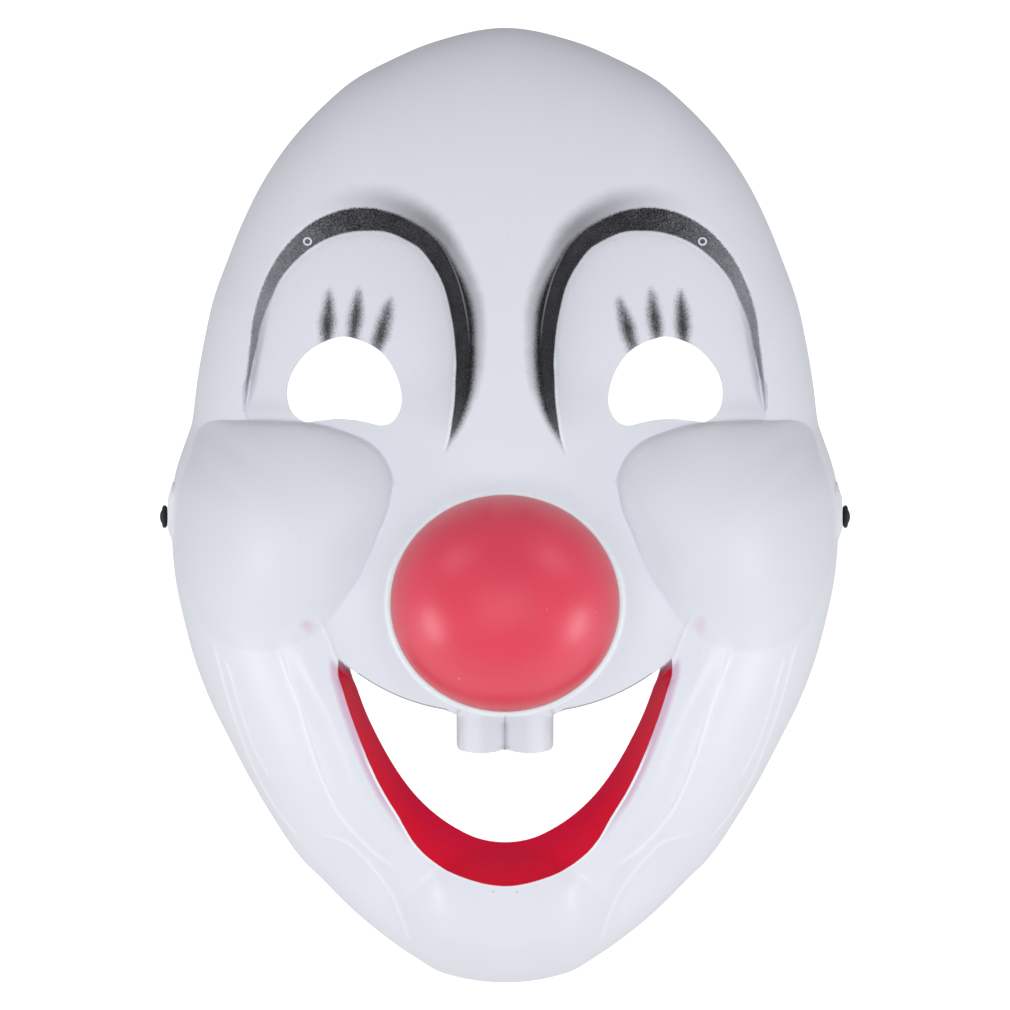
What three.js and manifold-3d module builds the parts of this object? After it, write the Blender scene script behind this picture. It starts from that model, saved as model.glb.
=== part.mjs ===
// Clown mask: a thin white face moulding that lies on its flat rim, face up, with a hollow red nose
// set in a collar and a round elastic tied through its two sides.
// Millimetres. +X is the wearer's left, +Y the forehead, +Z out of the face; the rim lies on z = 0.
import * as THREE from "three";
import { mergeVertices } from "three/addons/utils/BufferGeometryUtils.js";
import Module from "manifold-3d";

const wasm = await Module();
wasm.setup();

// Moulding
const maskHeight = 240;
const maskWidth = 167.2;
const wall = 0.9;
const foreheadDepth = 56;
const chinDepth = 44;
const foreheadPower = 2.8; // how squarely the skin turns down to the rim
const jawPower = 4.6;
const wallPower = 2.2;
const foreheadStart = 0.25; // share of half the height above which the forehead's sizes hold
const reliefEdge = 0.86; // share of the way to the rim beyond which the features run out
const bulgeEdge = 0.94; // the same for the cheeks and the chin

// Nose and its collar
const noseWidth = 56;
const noseHeight = 53;
const noseWall = 1.2;
const noseFootHeight = 6;
const noseFootInset = 0.35;
const noseDrop = 24;
const seatDepth = 53;
const seatWidth = 4;
const collarWidth = 1;
const collarHeight = 1;
const collarFoot = 0.6;
const collarMargin = 3; // width of the first row of faces round the collar
const seatBlendShare = 0.45; // how far the seat runs out into the face, as a share of the collar
const noseClearance = 0.4;
const glueGap = 0.3;

// Eyelid pads, brow ledges and eye holes
const eyeSpacing = 75.2;
const eyeRise = 34.4;
const padReach = 25.5;
const browLedge = 4.2;
const ledgeFadeDrop = 20; // depth below the middle of the eye at which the ledge has run out
const ledgeFullDrop = 2;
const leastLedgeWidth = 0.8;
const padDome = 3.2;
const padPower = 1;
const padSoftPower = 2.5; // where the ledge has run out
const padEdgeHeight = 0.6;
const padEdgeWidth = 0.8;
const eyeHoleWidth = 27.5;
const eyeHoleHeight = 23;
const eyeHoleOutward = 2;
const eyeHoleDrop = 5.6;

// Cheeks
const cheekSpacing = 107.6;
const cheekDrop = 6.1;
const cheekReach = 29.4;
const cheekBulge = 10.5;
const cheekSoftPower = 2.2;
const cheekCrispPower = 0.5;

// Muzzle, mouth, lip and teeth
const muzzleWidth = 82;
const muzzleBulge = 3;
const muzzlePower = 1.5;
const mouthDrop = 45.6;
const mouthWidth = 75.6;
const mouthCurve = 11;
const mouthCurvePower = 2.6;
const mouthCornerAngle = 98;
const lipReach = 37.6;
const lipDepth = 9;
const lipSurround = 4;
const lipSurroundSlope = 8;
const surroundFadeDrop = 22; // the raised skin grows between these two drops
const surroundFullDrop = 50;
const lipCornerBlend = 3;
const toothWidth = 11.9;
const toothLength = 8.4;
const toothCrown = 1; // how far the lower edge of a tooth bends down
const toothCorner = 0.9;

// Chin
const chinBallWidth = 52;
const chinBallHeight = 40;
const chinBallRise = 15;
const chinBulge = 8;
const chinPower = 0.9;
const jawHollowSpacing = 66;
const jawHollowRise = 24;
const jawHollowReach = 17;
const jawHollowDepth = 4;
const jawHollowPower = 1.5;

// Side pads, elastic and knots
const padLength = 16;
const padHeight = 12;
const padProud = 0.8;
const padCorner = 4;
const padShift = 0.8; // from the strap hole to the middle of the pad, towards the forehead
const strapHoleDiameter = 3.2;
const strapHoleLength = 12;
const strapDrop = 2.9;
const strapHeight = 7;
const elasticDiameter = 2.5;
const knotWidth = 5.8;
const knotProud = 2;

// Mesh density
const rimColumns = 92;
const rimSamples = 360; // in half of the rim
const faceRings = 18;
const crowdingPower = 1.5;
const eyeHolePoints = 36;
const collarPoints = 48;
const strapHolePoints = 20;
const mouthSteps = 14;
const noseColumns = 40;
const noseRows = 8;
const knotColumns = 12;
const cordSides = 8;
const cordSteps = 58;

// Half of the rim seen from the front, from the chin up to the top of the forehead.
// across is a share of half the width, up a share of half the height.
const rimRows = [
  { across: 0, up: -1 },
  { across: 0.19, up: -0.979 },
  { across: 0.27, up: -0.947 },
  { across: 0.31, up: -0.929 },
  { across: 0.344, up: -0.912 },
  { across: 0.42, up: -0.87 },
  { across: 0.545, up: -0.786 },
  { across: 0.607, up: -0.744 },
  { across: 0.692, up: -0.66 },
  { across: 0.763, up: -0.577 },
  { across: 0.826, up: -0.493 },
  { across: 0.886, up: -0.409 },
  { across: 0.932, up: -0.325 },
  { across: 0.965, up: -0.241 },
  { across: 0.99, up: -0.157 },
  { across: 1, up: -0.09 },
  { across: 1, up: 0.01 },
  { across: 0.996, up: 0.05 },
  { across: 0.98, up: 0.094 },
  { across: 0.959, up: 0.136 },
  { across: 0.94, up: 0.178 },
  { across: 0.925, up: 0.262 },
  { across: 0.904, up: 0.346 },
  { across: 0.877, up: 0.43 },
  { across: 0.834, up: 0.514 },
  { across: 0.786, up: 0.597 },
  { across: 0.725, up: 0.681 },
  { across: 0.642, up: 0.765 },
  { across: 0.527, up: 0.849 },
  { across: 0.454, up: 0.891 },
  { across: 0.342, up: 0.933 },
  { across: 0.211, up: 0.971 },
  { across: 0, up: 1 },
];

// Reaches from the middle of the eyelid pad, as shares of padReach: edge is the pad's own edge and
// ledge the crease at the top of the brow ledge.
// The angle starts towards the nose and turns by way of the brow to the temple.
const padEdge = [
  { angle: -90, edge: 1.15, ledge: 1.15 },
  { angle: -50, edge: 1.27, ledge: 1.29 },
  { angle: -40, edge: 1.2, ledge: 1.23 },
  { angle: -27, edge: 1.087, ledge: 1.16 },
  { angle: -10, edge: 1.007, ledge: 1.12 },
  { angle: 0, edge: 1, ledge: 1.13 },
  { angle: 12, edge: 1.01, ledge: 1.155 },
  { angle: 28, edge: 1.07, ledge: 1.23 },
  { angle: 44, edge: 1.185, ledge: 1.35 },
  { angle: 60, edge: 1.295, ledge: 1.48 },
  { angle: 75, edge: 1.325, ledge: 1.515 },
  { angle: 93, edge: 1.281, ledge: 1.49 },
  { angle: 112, edge: 1.195, ledge: 1.37 },
  { angle: 131, edge: 1.09, ledge: 1.2 },
  { angle: 150, edge: 0.993, ledge: 1.08 },
  { angle: 168, edge: 0.95, ledge: 1.01 },
  { angle: 182, edge: 0.981, ledge: 1.03 },
  { angle: 203, edge: 1.125, ledge: 1.15 },
  { angle: 235, edge: 1.15, ledge: 1.17 },
];

// Reach of a cheek's edge from its middle, as shares of cheekReach, with the same angles.
// crisp is 1 where the cheek stands steeply off the face and 0 where it runs out softly.
const cheekEdge = [
  { angle: -120, reach: 1.08, crisp: 0 },
  { angle: -77, reach: 0.9, crisp: 0.3 },
  { angle: -43, reach: 0.74, crisp: 0.8 },
  { angle: -6, reach: 0.76, crisp: 1 },
  { angle: 16, reach: 0.91, crisp: 1 },
  { angle: 27, reach: 1, crisp: 1 },
  { angle: 43, reach: 1.02, crisp: 1 },
  { angle: 61, reach: 0.95, crisp: 1 },
  { angle: 90, reach: 0.91, crisp: 1 },
  { angle: 112, reach: 0.99, crisp: 1 },
  { angle: 130, reach: 1.18, crisp: 0.8 },
  { angle: 180, reach: 1.15, crisp: 0.5 },
  { angle: 212, reach: 1.06, crisp: 0.2 },
];

// Reaches from the middle of the mouth, as shares of lipReach; the angle starts straight down.
// inner is the cut edge of the lip wall, outer its red rim and surround the edge of the raised skin.
const lipEdge = [
  { angle: 0, inner: 1, outer: 1.275, surround: 1.9 },
  { angle: 10, inner: 0.99, outer: 1.258, surround: 1.89 },
  { angle: 20, inner: 0.96, outer: 1.229, surround: 1.84 },
  { angle: 30, inner: 0.931, outer: 1.168, surround: 1.6 },
  { angle: 40, inner: 0.906, outer: 1.08, surround: 1.4 },
  { angle: 50, inner: 0.887, outer: 1.035, surround: 1.36 },
  { angle: 60, inner: 0.88, outer: 1.008, surround: 1.33 },
  { angle: 70, inner: 0.889, outer: 1, surround: 1.31 },
  { angle: 80, inner: 0.918, outer: 1.016, surround: 1.34 },
  { angle: 90, inner: 0.964, outer: 1.057, surround: 1.42 },
  { angle: 96, inner: 1.01, outer: 1.095, surround: 1.48 },
  { angle: 104, inner: 1.05, outer: 1.11, surround: 1.54 },
  { angle: 125, inner: 1.05, outer: 1.11, surround: 1.3 },
  { angle: 150, inner: 1.05, outer: 1.11, surround: 1.15 },
  { angle: 180, inner: 1.05, outer: 1.11, surround: 1.1 },
];

// One eye hole seen from the front, from its top round by the nose: shares of half its width and height.
const eyeHoleRows = [
  { in: 0, up: 1.1 },
  { in: 0.25, up: 1.03 },
  { in: 0.47, up: 0.92 },
  { in: 0.66, up: 0.77 },
  { in: 0.84, up: 0.5 },
  { in: 0.96, up: 0.21 },
  { in: 1.03, up: -0.1 },
  { in: 1.04, up: -0.34 },
  { in: 0.97, up: -0.58 },
  { in: 0.84, up: -0.76 },
  { in: 0.67, up: -0.81 },
  { in: 0.45, up: -0.75 },
  { in: 0.2, up: -0.69 },
  { in: -0.12, up: -0.66 },
  { in: -0.45, up: -0.7 },
  { in: -0.66, up: -0.73 },
  { in: -0.86, up: -0.62 },
  { in: -0.99, up: -0.38 },
  { in: -1.03, up: -0.08 },
  { in: -0.97, up: 0.26 },
  { in: -0.83, up: 0.55 },
  { in: -0.6, up: 0.83 },
  { in: -0.31, up: 1.01 },
];

// Half of the elastic's way, from the middle behind the forehead to the bend inside its hole.
const elasticRoute = [
  { x: 0, y: 86, z: 1.5 },
  { x: 16, y: 85, z: 1.5 },
  { x: 31, y: 81, z: 1.5 },
  { x: 45, y: 74, z: 1.5 },
  { x: 56, y: 64, z: 1.5 },
  { x: 63.5, y: 51, z: 1.5 },
  { x: 67, y: 37, z: 1.5 },
  { x: 69, y: 23, z: 1.6 },
  { x: 70.3, y: 11, z: 2.4 },
  { x: 72.6, y: 2.6, z: 4.6 },
];

const halfWidth = maskWidth / 2;
const halfHeight = maskHeight / 2;
const noseRadius = noseWidth / 2;
const noseFlat = noseHeight / noseWidth;
const noseCentre = new THREE.Vector2(0, -noseDrop);
const noseFootRadius = noseRadius - noseFootInset;
const collarInner = noseFootRadius + noseClearance;
const collarOuter = collarInner + collarWidth;
const noseHoleRadius = collarInner - seatWidth;
const seatBlend = collarOuter * seatBlendShare;
const degrees = THREE.MathUtils.radToDeg;
const { lerp, smoothstep } = THREE.MathUtils;

// Values of one column of a table, read at an angle, on a smooth curve through the table's rows.
function column(rows, name, closed) {
  const at = (i) => {
    if (!closed) return rows[THREE.MathUtils.clamp(i, 0, rows.length - 1)];
    return rows[THREE.MathUtils.euclideanModulo(i, rows.length)];
  };
  const first = rows[0].angle;
  return (angle) => {
    const turned = closed ? first + THREE.MathUtils.euclideanModulo(angle - first, 360) : angle;
    let i = rows.findIndex((row) => row.angle > turned) - 1;
    if (i < -1) i = closed ? rows.length - 1 : rows.length - 2;
    if (i < 0) i = 0;
    const from = rows[i].angle;
    const to = i + 1 < rows.length ? rows[i + 1].angle : first + 360;
    const t = THREE.MathUtils.clamp((turned - from) / (to - from), 0, 1);
    const [p0, p1, p2, p3] = [at(i - 1), at(i), at(i + 1), at(i + 2)].map((row) => row[name]);
    const bend = 2 * p0 - 5 * p1 + 4 * p2 - p3;
    return p1 + 0.5 * t * (p2 - p0 + t * (bend + t * (3 * (p1 - p2) + p3 - p0)));
  };
}

const padEdgeAt = column(padEdge, "edge", true);
const ledgeEdgeAt = column(padEdge, "ledge", true);
const cheekReachAt = column(cheekEdge, "reach", true);
const cheekCrispAt = column(cheekEdge, "crisp", true);
const lipInnerAt = column(lipEdge, "inner", false);
const lipOuterAt = column(lipEdge, "outer", false);
const lipSurroundAt = column(lipEdge, "surround", false);

// The rim as a closed curve, anticlockwise from the chin.
function rimCurve() {
  const right = rimRows.map((row) => new THREE.Vector3(row.across * halfWidth, row.up * halfHeight, 0));
  const left = right
    .slice(1, -1)
    .reverse()
    .map((point) => new THREE.Vector3(-point.x, point.y, 0));
  return new THREE.CatmullRomCurve3([...right, ...left], true, "centripetal");
}

const rim = rimCurve();
const rimPoints = rim.getSpacedPoints(rimColumns).slice(0, rimColumns);

// Distance from the nose's axis to the rim, in even turns from straight down to straight up.
const rimReaches = (() => {
  const fine = rim.getSpacedPoints(2 * rimSamples).map((point) => {
    const x = point.x;
    const y = point.y - noseCentre.y;
    return { turn: Math.atan2(Math.abs(x), -y), reach: Math.hypot(x, y) };
  });
  const half = fine.slice(0, rimSamples + 1);
  return Array.from({ length: rimSamples + 1 }, (_, i) => {
    const turn = (i / rimSamples) * Math.PI;
    const k = Math.max(1, half.findIndex((sample) => sample.turn >= turn - 1e-9));
    const [a, b] = [half[k - 1], half[k]];
    return lerp(a.reach, b.reach, THREE.MathUtils.clamp((turn - a.turn) / (b.turn - a.turn), 0, 1));
  });
})();

// 0 on the nose's axis, 1 on the rim.
function rimShare(x, y) {
  const dy = y - noseCentre.y;
  const turn = (Math.atan2(Math.abs(x), -dy) / Math.PI) * rimSamples;
  const i = Math.min(rimSamples - 1, Math.floor(turn));
  return Math.hypot(x, dy) / lerp(rimReaches[i], rimReaches[i + 1], turn - i);
}

// Place of a point round a middle: its distance, and its angle from the side of the nose.
function around(x, y, spacing, rise) {
  const towardsNose = spacing / 2 - Math.abs(x);
  const up = y - rise;
  return { far: Math.hypot(towardsNose, up), angle: degrees(Math.atan2(up, towardsNose)) };
}

// Place of a point round the middle of the mouth, with the angle from straight down.
function roundMouth(x, y) {
  const down = -mouthDrop - y;
  return { far: Math.hypot(x, down), angle: degrees(Math.atan2(Math.abs(x), down)) };
}

const dome = (share, power) => (share < 1 ? (1 - share * share) ** power : 0);

// 0 at from and 1 at to, smooth between them, whichever of the two is larger.
const ramp = (value, from, to) => smoothstep((value - from) / (to - from), 0, 1);

function baseHeight(x, y, share) {
  const low = ramp(y, -halfHeight, foreheadStart * halfHeight);
  const power = lerp(jawPower, foreheadPower, low);
  const depth = lerp(chinDepth, foreheadDepth, low);
  return depth * Math.max(0, 1 - share ** power) ** (1 / wallPower);
}

function eyeHeight(x, y) {
  const { far, angle } = around(x, y, eyeSpacing, eyeRise);
  const edge = padReach * padEdgeAt(angle);
  const crease = Math.max(padReach * ledgeEdgeAt(angle), edge + leastLedgeWidth);
  const sunk = ramp(far, crease, edge);
  const step = padEdgeHeight * ramp(far, edge, edge - padEdgeWidth);
  const fade = ramp(eyeRise - y, ledgeFadeDrop, ledgeFullDrop);
  const power = lerp(padSoftPower, padPower, fade);
  return padDome * dome(far / edge, power) + fade * (step - browLedge * sunk);
}

function cheekHeight(x, y) {
  const { far, angle } = around(x, y, cheekSpacing, -cheekDrop);
  const power = lerp(cheekSoftPower, cheekCrispPower, cheekCrispAt(angle));
  return cheekBulge * dome(far / (cheekReach * cheekReachAt(angle)), power);
}

// Upper edge of the mouth, lowest under the nose.
const upperLip = (x) =>
  mouthCurve * ((Math.abs(x) / (mouthWidth / 2)) ** mouthCurvePower - 0.5) - mouthDrop;

function mouthHeight(x, y) {
  const { far, angle } = roundMouth(x, y);
  const inner = lipReach * lipInnerAt(angle);
  const outer = lipReach * lipOuterAt(angle);
  const surround = lipReach * lipSurroundAt(angle);
  const under = ramp(upperLip(x) - y, 0, lipCornerBlend);
  const back = ramp(far, outer, inner) * ramp(far, inner - 2 * lipSurround, inner - lipSurround);
  const fade = ramp(-y, surroundFadeDrop, surroundFullDrop);
  const raised = fade * ramp(far, surround, surround - lipSurroundSlope);
  return lipSurround * raised - lipDepth * back * under;
}

function muzzleHeight(x, y) {
  const share = Math.hypot(x / (muzzleWidth / 2), (y + noseDrop) / (muzzleWidth / 2));
  return muzzleBulge * dome(share, muzzlePower);
}

function chinHeight(x, y) {
  const share = Math.hypot(x / (chinBallWidth / 2), (y + halfHeight - chinBallRise) / (chinBallHeight / 2));
  return chinBulge * dome(share, chinPower);
}

function jawHollow(x, y) {
  const along = Math.abs(x) - jawHollowSpacing / 2;
  const share = Math.hypot(along, y + halfHeight - jawHollowRise) / jawHollowReach;
  return -jawHollowDepth * dome(share, jawHollowPower);
}

// Height of the moulding's front over the rim.
function frontHeight(x, y) {
  const share = rimShare(x, y);
  if (share >= 1) return 0;
  const relief = eyeHeight(x, y) + mouthHeight(x, y) + muzzleHeight(x, y) + jawHollow(x, y);
  const bulges = cheekHeight(x, y) + chinHeight(x, y);
  const raised = ramp(share, 1, reliefEdge) * relief + ramp(share, 1, bulgeEdge) * bulges;
  const face = baseHeight(x, y, share) + raised;
  const fromNose = Math.hypot(x, (y + noseDrop) / noseFlat);
  return lerp(seatDepth, face, ramp(fromNose, collarOuter, collarOuter + seatBlend));
}

// Triangles between two rings; one ring may hold twice as many points as the other.
function stitch(a, b, out) {
  const n = Math.min(a.length, b.length);
  const ra = a.length / n;
  const rb = b.length / n;
  for (let j = 0; j < n; j++) {
    const a0 = a[j * ra];
    const a1 = a[(j * ra + ra) % a.length];
    const b0 = b[j * rb];
    const b1 = b[(j * rb + rb) % b.length];
    if (ra === rb) out.push(a0, b0, b1, a0, b1, a1);
    else if (ra > rb) out.push(a0, b0, a[j * ra + 1], a[j * ra + 1], b0, b1, a[j * ra + 1], b1, a1);
    else out.push(a0, b0, b[j * rb + 1], a0, b[j * rb + 1], a1, a1, b[j * rb + 1], b1);
  }
}

// A surface from rings of points. A closed one has its last ring meet the first again.
function ringGeometry(rings, closed) {
  const positions = [];
  const indices = [];
  const rows = rings.map((ring) =>
    ring.map((point) => {
      positions.push(point.x, point.y, point.z);
      return positions.length / 3 - 1;
    }),
  );
  const last = closed ? rows.length : rows.length - 1;
  for (let i = 0; i < last; i++) stitch(rows[i], rows[(i + 1) % rows.length], indices);
  const geometry = new THREE.BufferGeometry();
  geometry.setAttribute("position", new THREE.Float32BufferAttribute(positions, 3));
  geometry.setIndex(indices);
  return geometry;
}

function toSolid(geometry) {
  const bare = geometry.clone();
  bare.deleteAttribute("normal");
  bare.deleteAttribute("uv");
  const merged = mergeVertices(bare, 1e-4);
  return new wasm.Manifold(
    new wasm.Mesh({
      numProp: 3,
      vertProperties: merged.attributes.position.array,
      triVerts: new Uint32Array(merged.index.array),
    }),
  );
}

function toGeometry(solid) {
  const mesh = solid.getMesh();
  const geometry = new THREE.BufferGeometry();
  geometry.setAttribute("position", new THREE.BufferAttribute(mesh.vertProperties, 3));
  geometry.setIndex(new THREE.BufferAttribute(mesh.triVerts, 1));
  geometry.computeVertexNormals();
  return geometry;
}

// The moulding before its holes are cut: collar, front, rim and back in one loop of rings.
function faceGeometry() {
  const rays = rimPoints.map((point) => {
    const ray = new THREE.Vector2(point.x, point.y).sub(noseCentre);
    return { unit: ray.clone().normalize(), reach: ray.length() };
  });
  const collarRays = rays.filter((_, i) => i % 2 === 0);
  const circle = (radius, z) =>
    collarRays.map(
      ({ unit }) => new THREE.Vector3(unit.x * radius, unit.y * radius * noseFlat + noseCentre.y, z),
    );
  const faceStart = collarOuter + collarMargin;
  const front = Array.from({ length: faceRings }, (_, i) =>
    rays.map(({ unit, reach }) => {
      const start = faceStart / reach;
      const share = 1 - (1 - start) * (1 - i / faceRings) ** crowdingPower;
      const x = unit.x * reach * share;
      const y = unit.y * reach * share + noseCentre.y;
      return new THREE.Vector3(x, y, frontHeight(x, y));
    }),
  );
  const skin = ringGeometry([...front, rimPoints], false);
  skin.computeVertexNormals();
  const normals = skin.getAttribute("normal");
  const behind = (point, index) =>
    point.clone().addScaledVector(new THREE.Vector3().fromBufferAttribute(normals, index), -wall);
  const back = front.map((ring, i) => ring.map((point, j) => behind(point, i * rimColumns + j))).reverse();
  const rimInside = rays.map(({ unit, reach }) => {
    const inside = reach - wall;
    return new THREE.Vector3(unit.x * inside, unit.y * inside + noseCentre.y, 0);
  });
  const rings = [
    circle(noseHoleRadius, seatDepth),
    circle(collarInner, seatDepth),
    circle(collarInner, seatDepth + collarHeight),
    circle(collarOuter, seatDepth + collarHeight),
    circle(collarOuter + collarFoot, seatDepth),
    ...front,
    rimPoints,
    rimInside,
    ...back,
    circle(noseHoleRadius, seatDepth - wall),
  ];
  return ringGeometry(rings, true);
}

// A straight cutter through the face, from an outline of [x, y] points.
function cutter(points) {
  const shape = new THREE.Shape(points);
  const geometry = new THREE.ExtrudeGeometry(shape, { depth: 2 * seatDepth, bevelEnabled: false });
  return toSolid(geometry);
}

function eyeCutter(side) {
  const middleX = eyeSpacing / 2 + eyeHoleOutward;
  const curve = new THREE.SplineCurve(
    [...eyeHoleRows, eyeHoleRows[0]].map(
      (row) =>
        new THREE.Vector2(
          side * (middleX - (row.in * eyeHoleWidth) / 2),
          eyeRise - eyeHoleDrop + (row.up * eyeHoleHeight) / 2,
        ),
    ),
  );
  const points = curve.getPoints(eyeHolePoints).slice(0, -1);
  return cutter(side > 0 ? points : points.reverse());
}

function mouthCutter() {
  const half = mouthWidth / 2;
  const lower = Array.from({ length: 2 * mouthSteps - 1 }, (_, i) => {
    const turn = lerp(-mouthCornerAngle, mouthCornerAngle, (i + 1) / (2 * mouthSteps));
    const reach = lipReach * lipInnerAt(Math.abs(turn));
    const radians = THREE.MathUtils.degToRad(turn);
    return new THREE.Vector2(reach * Math.sin(radians), -mouthDrop - reach * Math.cos(radians));
  });
  const upper = Array.from({ length: 2 * mouthSteps + 1 }, (_, i) => {
    const x = lerp(half, -half, i / (2 * mouthSteps));
    return new THREE.Vector2(x, upperLip(x));
  });
  const opening = cutter([...lower, ...upper]);
  const kept = collarOuter + collarFoot;
  const collar = new THREE.CylinderGeometry(kept, kept, 3 * seatDepth, collarPoints);
  collar.rotateX(Math.PI / 2);
  collar.scale(1, noseFlat, 1);
  collar.translate(0, noseCentre.y, seatDepth);
  return opening.subtract(toSolid(collar)).subtract(teethKeeper());
}

// The block that keeps the two front teeth from being cut away with the mouth.
function teethKeeper() {
  const top = -noseDrop - collarInner * noseFlat + seatWidth / 2;
  const tip = -noseDrop - collarOuter * noseFlat - toothLength;
  const bent = tip - 2 * toothCrown;
  const shape = new THREE.Shape();
  shape.moveTo(-toothWidth, top);
  shape.lineTo(-toothWidth, tip + toothCorner);
  shape.lineTo(toothCorner - toothWidth, tip);
  shape.quadraticCurveTo(-toothWidth / 2, bent, 0, tip);
  shape.quadraticCurveTo(toothWidth / 2, bent, toothWidth - toothCorner, tip);
  shape.lineTo(toothWidth, tip + toothCorner);
  shape.lineTo(toothWidth, top);
  const geometry = new THREE.ExtrudeGeometry(shape, {
    depth: 3 * seatDepth,
    bevelEnabled: false,
    curveSegments: 6,
  });
  geometry.translate(0, 0, -seatDepth / 2);
  return toSolid(geometry);
}

const sideFace = halfWidth + padProud;

// Small pad on the side wall that the elastic is tied to, and the cutter of its hole.
function sidePad(side) {
  const shape = new THREE.Shape();
  const half = padLength / 2;
  shape.moveTo(-half, 0);
  shape.lineTo(half, 0);
  shape.lineTo(half, padHeight - padCorner);
  shape.absarc(half - padCorner, padHeight - padCorner, padCorner, 0, Math.PI / 2, false);
  shape.absarc(padCorner - half, padHeight - padCorner, padCorner, Math.PI / 2, Math.PI, false);
  const depth = wall + 2 * padProud;
  const geometry = new THREE.ExtrudeGeometry(shape, { depth, bevelEnabled: false, curveSegments: 4 });
  geometry.rotateX(Math.PI / 2);
  geometry.rotateZ(Math.PI / 2);
  geometry.translate(sideFace - depth, padShift - strapDrop, 0);
  const pad = toSolid(geometry);
  return side > 0 ? pad : pad.mirror([1, 0, 0]);
}

function strapHole(side) {
  const radius = strapHoleDiameter / 2;
  const geometry = new THREE.CylinderGeometry(radius, radius, strapHoleLength, strapHolePoints);
  geometry.rotateZ(Math.PI / 2);
  geometry.translate(side * sideFace, -strapDrop, strapHeight);
  return toSolid(geometry);
}

function shellGeometry() {
  let solid = toSolid(faceGeometry());
  for (const side of [-1, 1]) {
    solid = solid.add(sidePad(side));
    solid = solid.subtract(eyeCutter(side));
    solid = solid.subtract(strapHole(side));
  }
  return toGeometry(solid.subtract(mouthCutter()));
}

// Hollow ball, open at the back, whose round foot stands inside the collar.
function noseGeometry() {
  const arc = (radius, steps) =>
    Array.from({ length: steps + 1 }, (_, i) => {
      const turn = (i / steps) * (Math.PI / 2);
      const out = i < steps ? radius * Math.cos(turn) : 0;
      return new THREE.Vector2(out, noseFootHeight + radius * Math.sin(turn));
    });
  const inner = noseRadius - noseWall;
  const profile = [
    new THREE.Vector2(inner, glueGap),
    new THREE.Vector2(noseFootRadius, glueGap),
    new THREE.Vector2(noseFootRadius, collarHeight + glueGap),
    ...arc(noseRadius, noseRows),
    ...arc(inner, noseRows - 1).reverse(),
    new THREE.Vector2(inner, glueGap),
  ];
  const geometry = new THREE.LatheGeometry(profile, noseColumns);
  geometry.rotateX(Math.PI / 2);
  geometry.scale(1, noseFlat, 1);
  return geometry;
}

const knotFace = sideFace + glueGap;

// Flattened knot, turned about the elastic's axis.
function knotGeometry() {
  const radius = knotWidth / 2;
  const profile = [
    [0, 0],
    [0.7, 0],
    [1, 0.3],
    [0.92, 0.72],
    [0.6, 0.94],
    [0, 1],
  ].map(([out, along]) => new THREE.Vector2(out * radius, along * knotProud));
  return new THREE.LatheGeometry(profile, knotColumns);
}

// Round elastic, from the face of one side pad to the other.
function elasticGeometry() {
  const exit = new THREE.Vector3(sideFace, -strapDrop, strapHeight);
  const inside = exit.clone().add(new THREE.Vector3(-3 * elasticDiameter, 0, 0));
  const half = [...elasticRoute.map(({ x, y, z }) => new THREE.Vector3(x, y, z)), inside, exit];
  const mirrored = half
    .slice(1)
    .reverse()
    .map((point) => new THREE.Vector3(-point.x, point.y, point.z));
  const path = new THREE.CatmullRomCurve3([...mirrored, ...half], false, "centripetal");
  const section = new THREE.Shape();
  section.absarc(0, 0, elasticDiameter / 2, 0, 2 * Math.PI, false);
  return new THREE.ExtrudeGeometry(section, {
    steps: cordSteps,
    extrudePath: path,
    curveSegments: cordSides / 2,
    bevelEnabled: false,
  });
}

const whitePlastic = new THREE.MeshStandardMaterial({ color: 0xe6e8ee, roughness: 0.28, metalness: 0 });
const redPlastic = new THREE.MeshStandardMaterial({ color: 0xd9435a, roughness: 0.42, metalness: 0 });
const blackElastic = new THREE.MeshStandardMaterial({ color: 0x17171a, roughness: 0.85, metalness: 0 });

function named(name, geometry, material) {
  const mesh = new THREE.Mesh(geometry, material);
  mesh.name = name;
  return mesh;
}

const group = new THREE.Group();
group.add(named("mask_shell", shellGeometry(), whitePlastic));

const nose = named("red_nose", noseGeometry(), redPlastic);
nose.position.set(noseCentre.x, noseCentre.y, seatDepth);
group.add(nose);

group.add(named("elastic_cord", elasticGeometry(), blackElastic));

for (const [name, side] of [
  ["knot_left", -1],
  ["knot_right", 1],
]) {
  const knot = named(name, knotGeometry(), blackElastic);
  knot.rotation.z = (-side * Math.PI) / 2;
  knot.position.set(side * knotFace, -strapDrop, strapHeight);
  group.add(knot);
}

export default group;
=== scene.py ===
import bisect
import math

import bmesh
import bpy
from mathutils import Matrix, Vector


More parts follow.
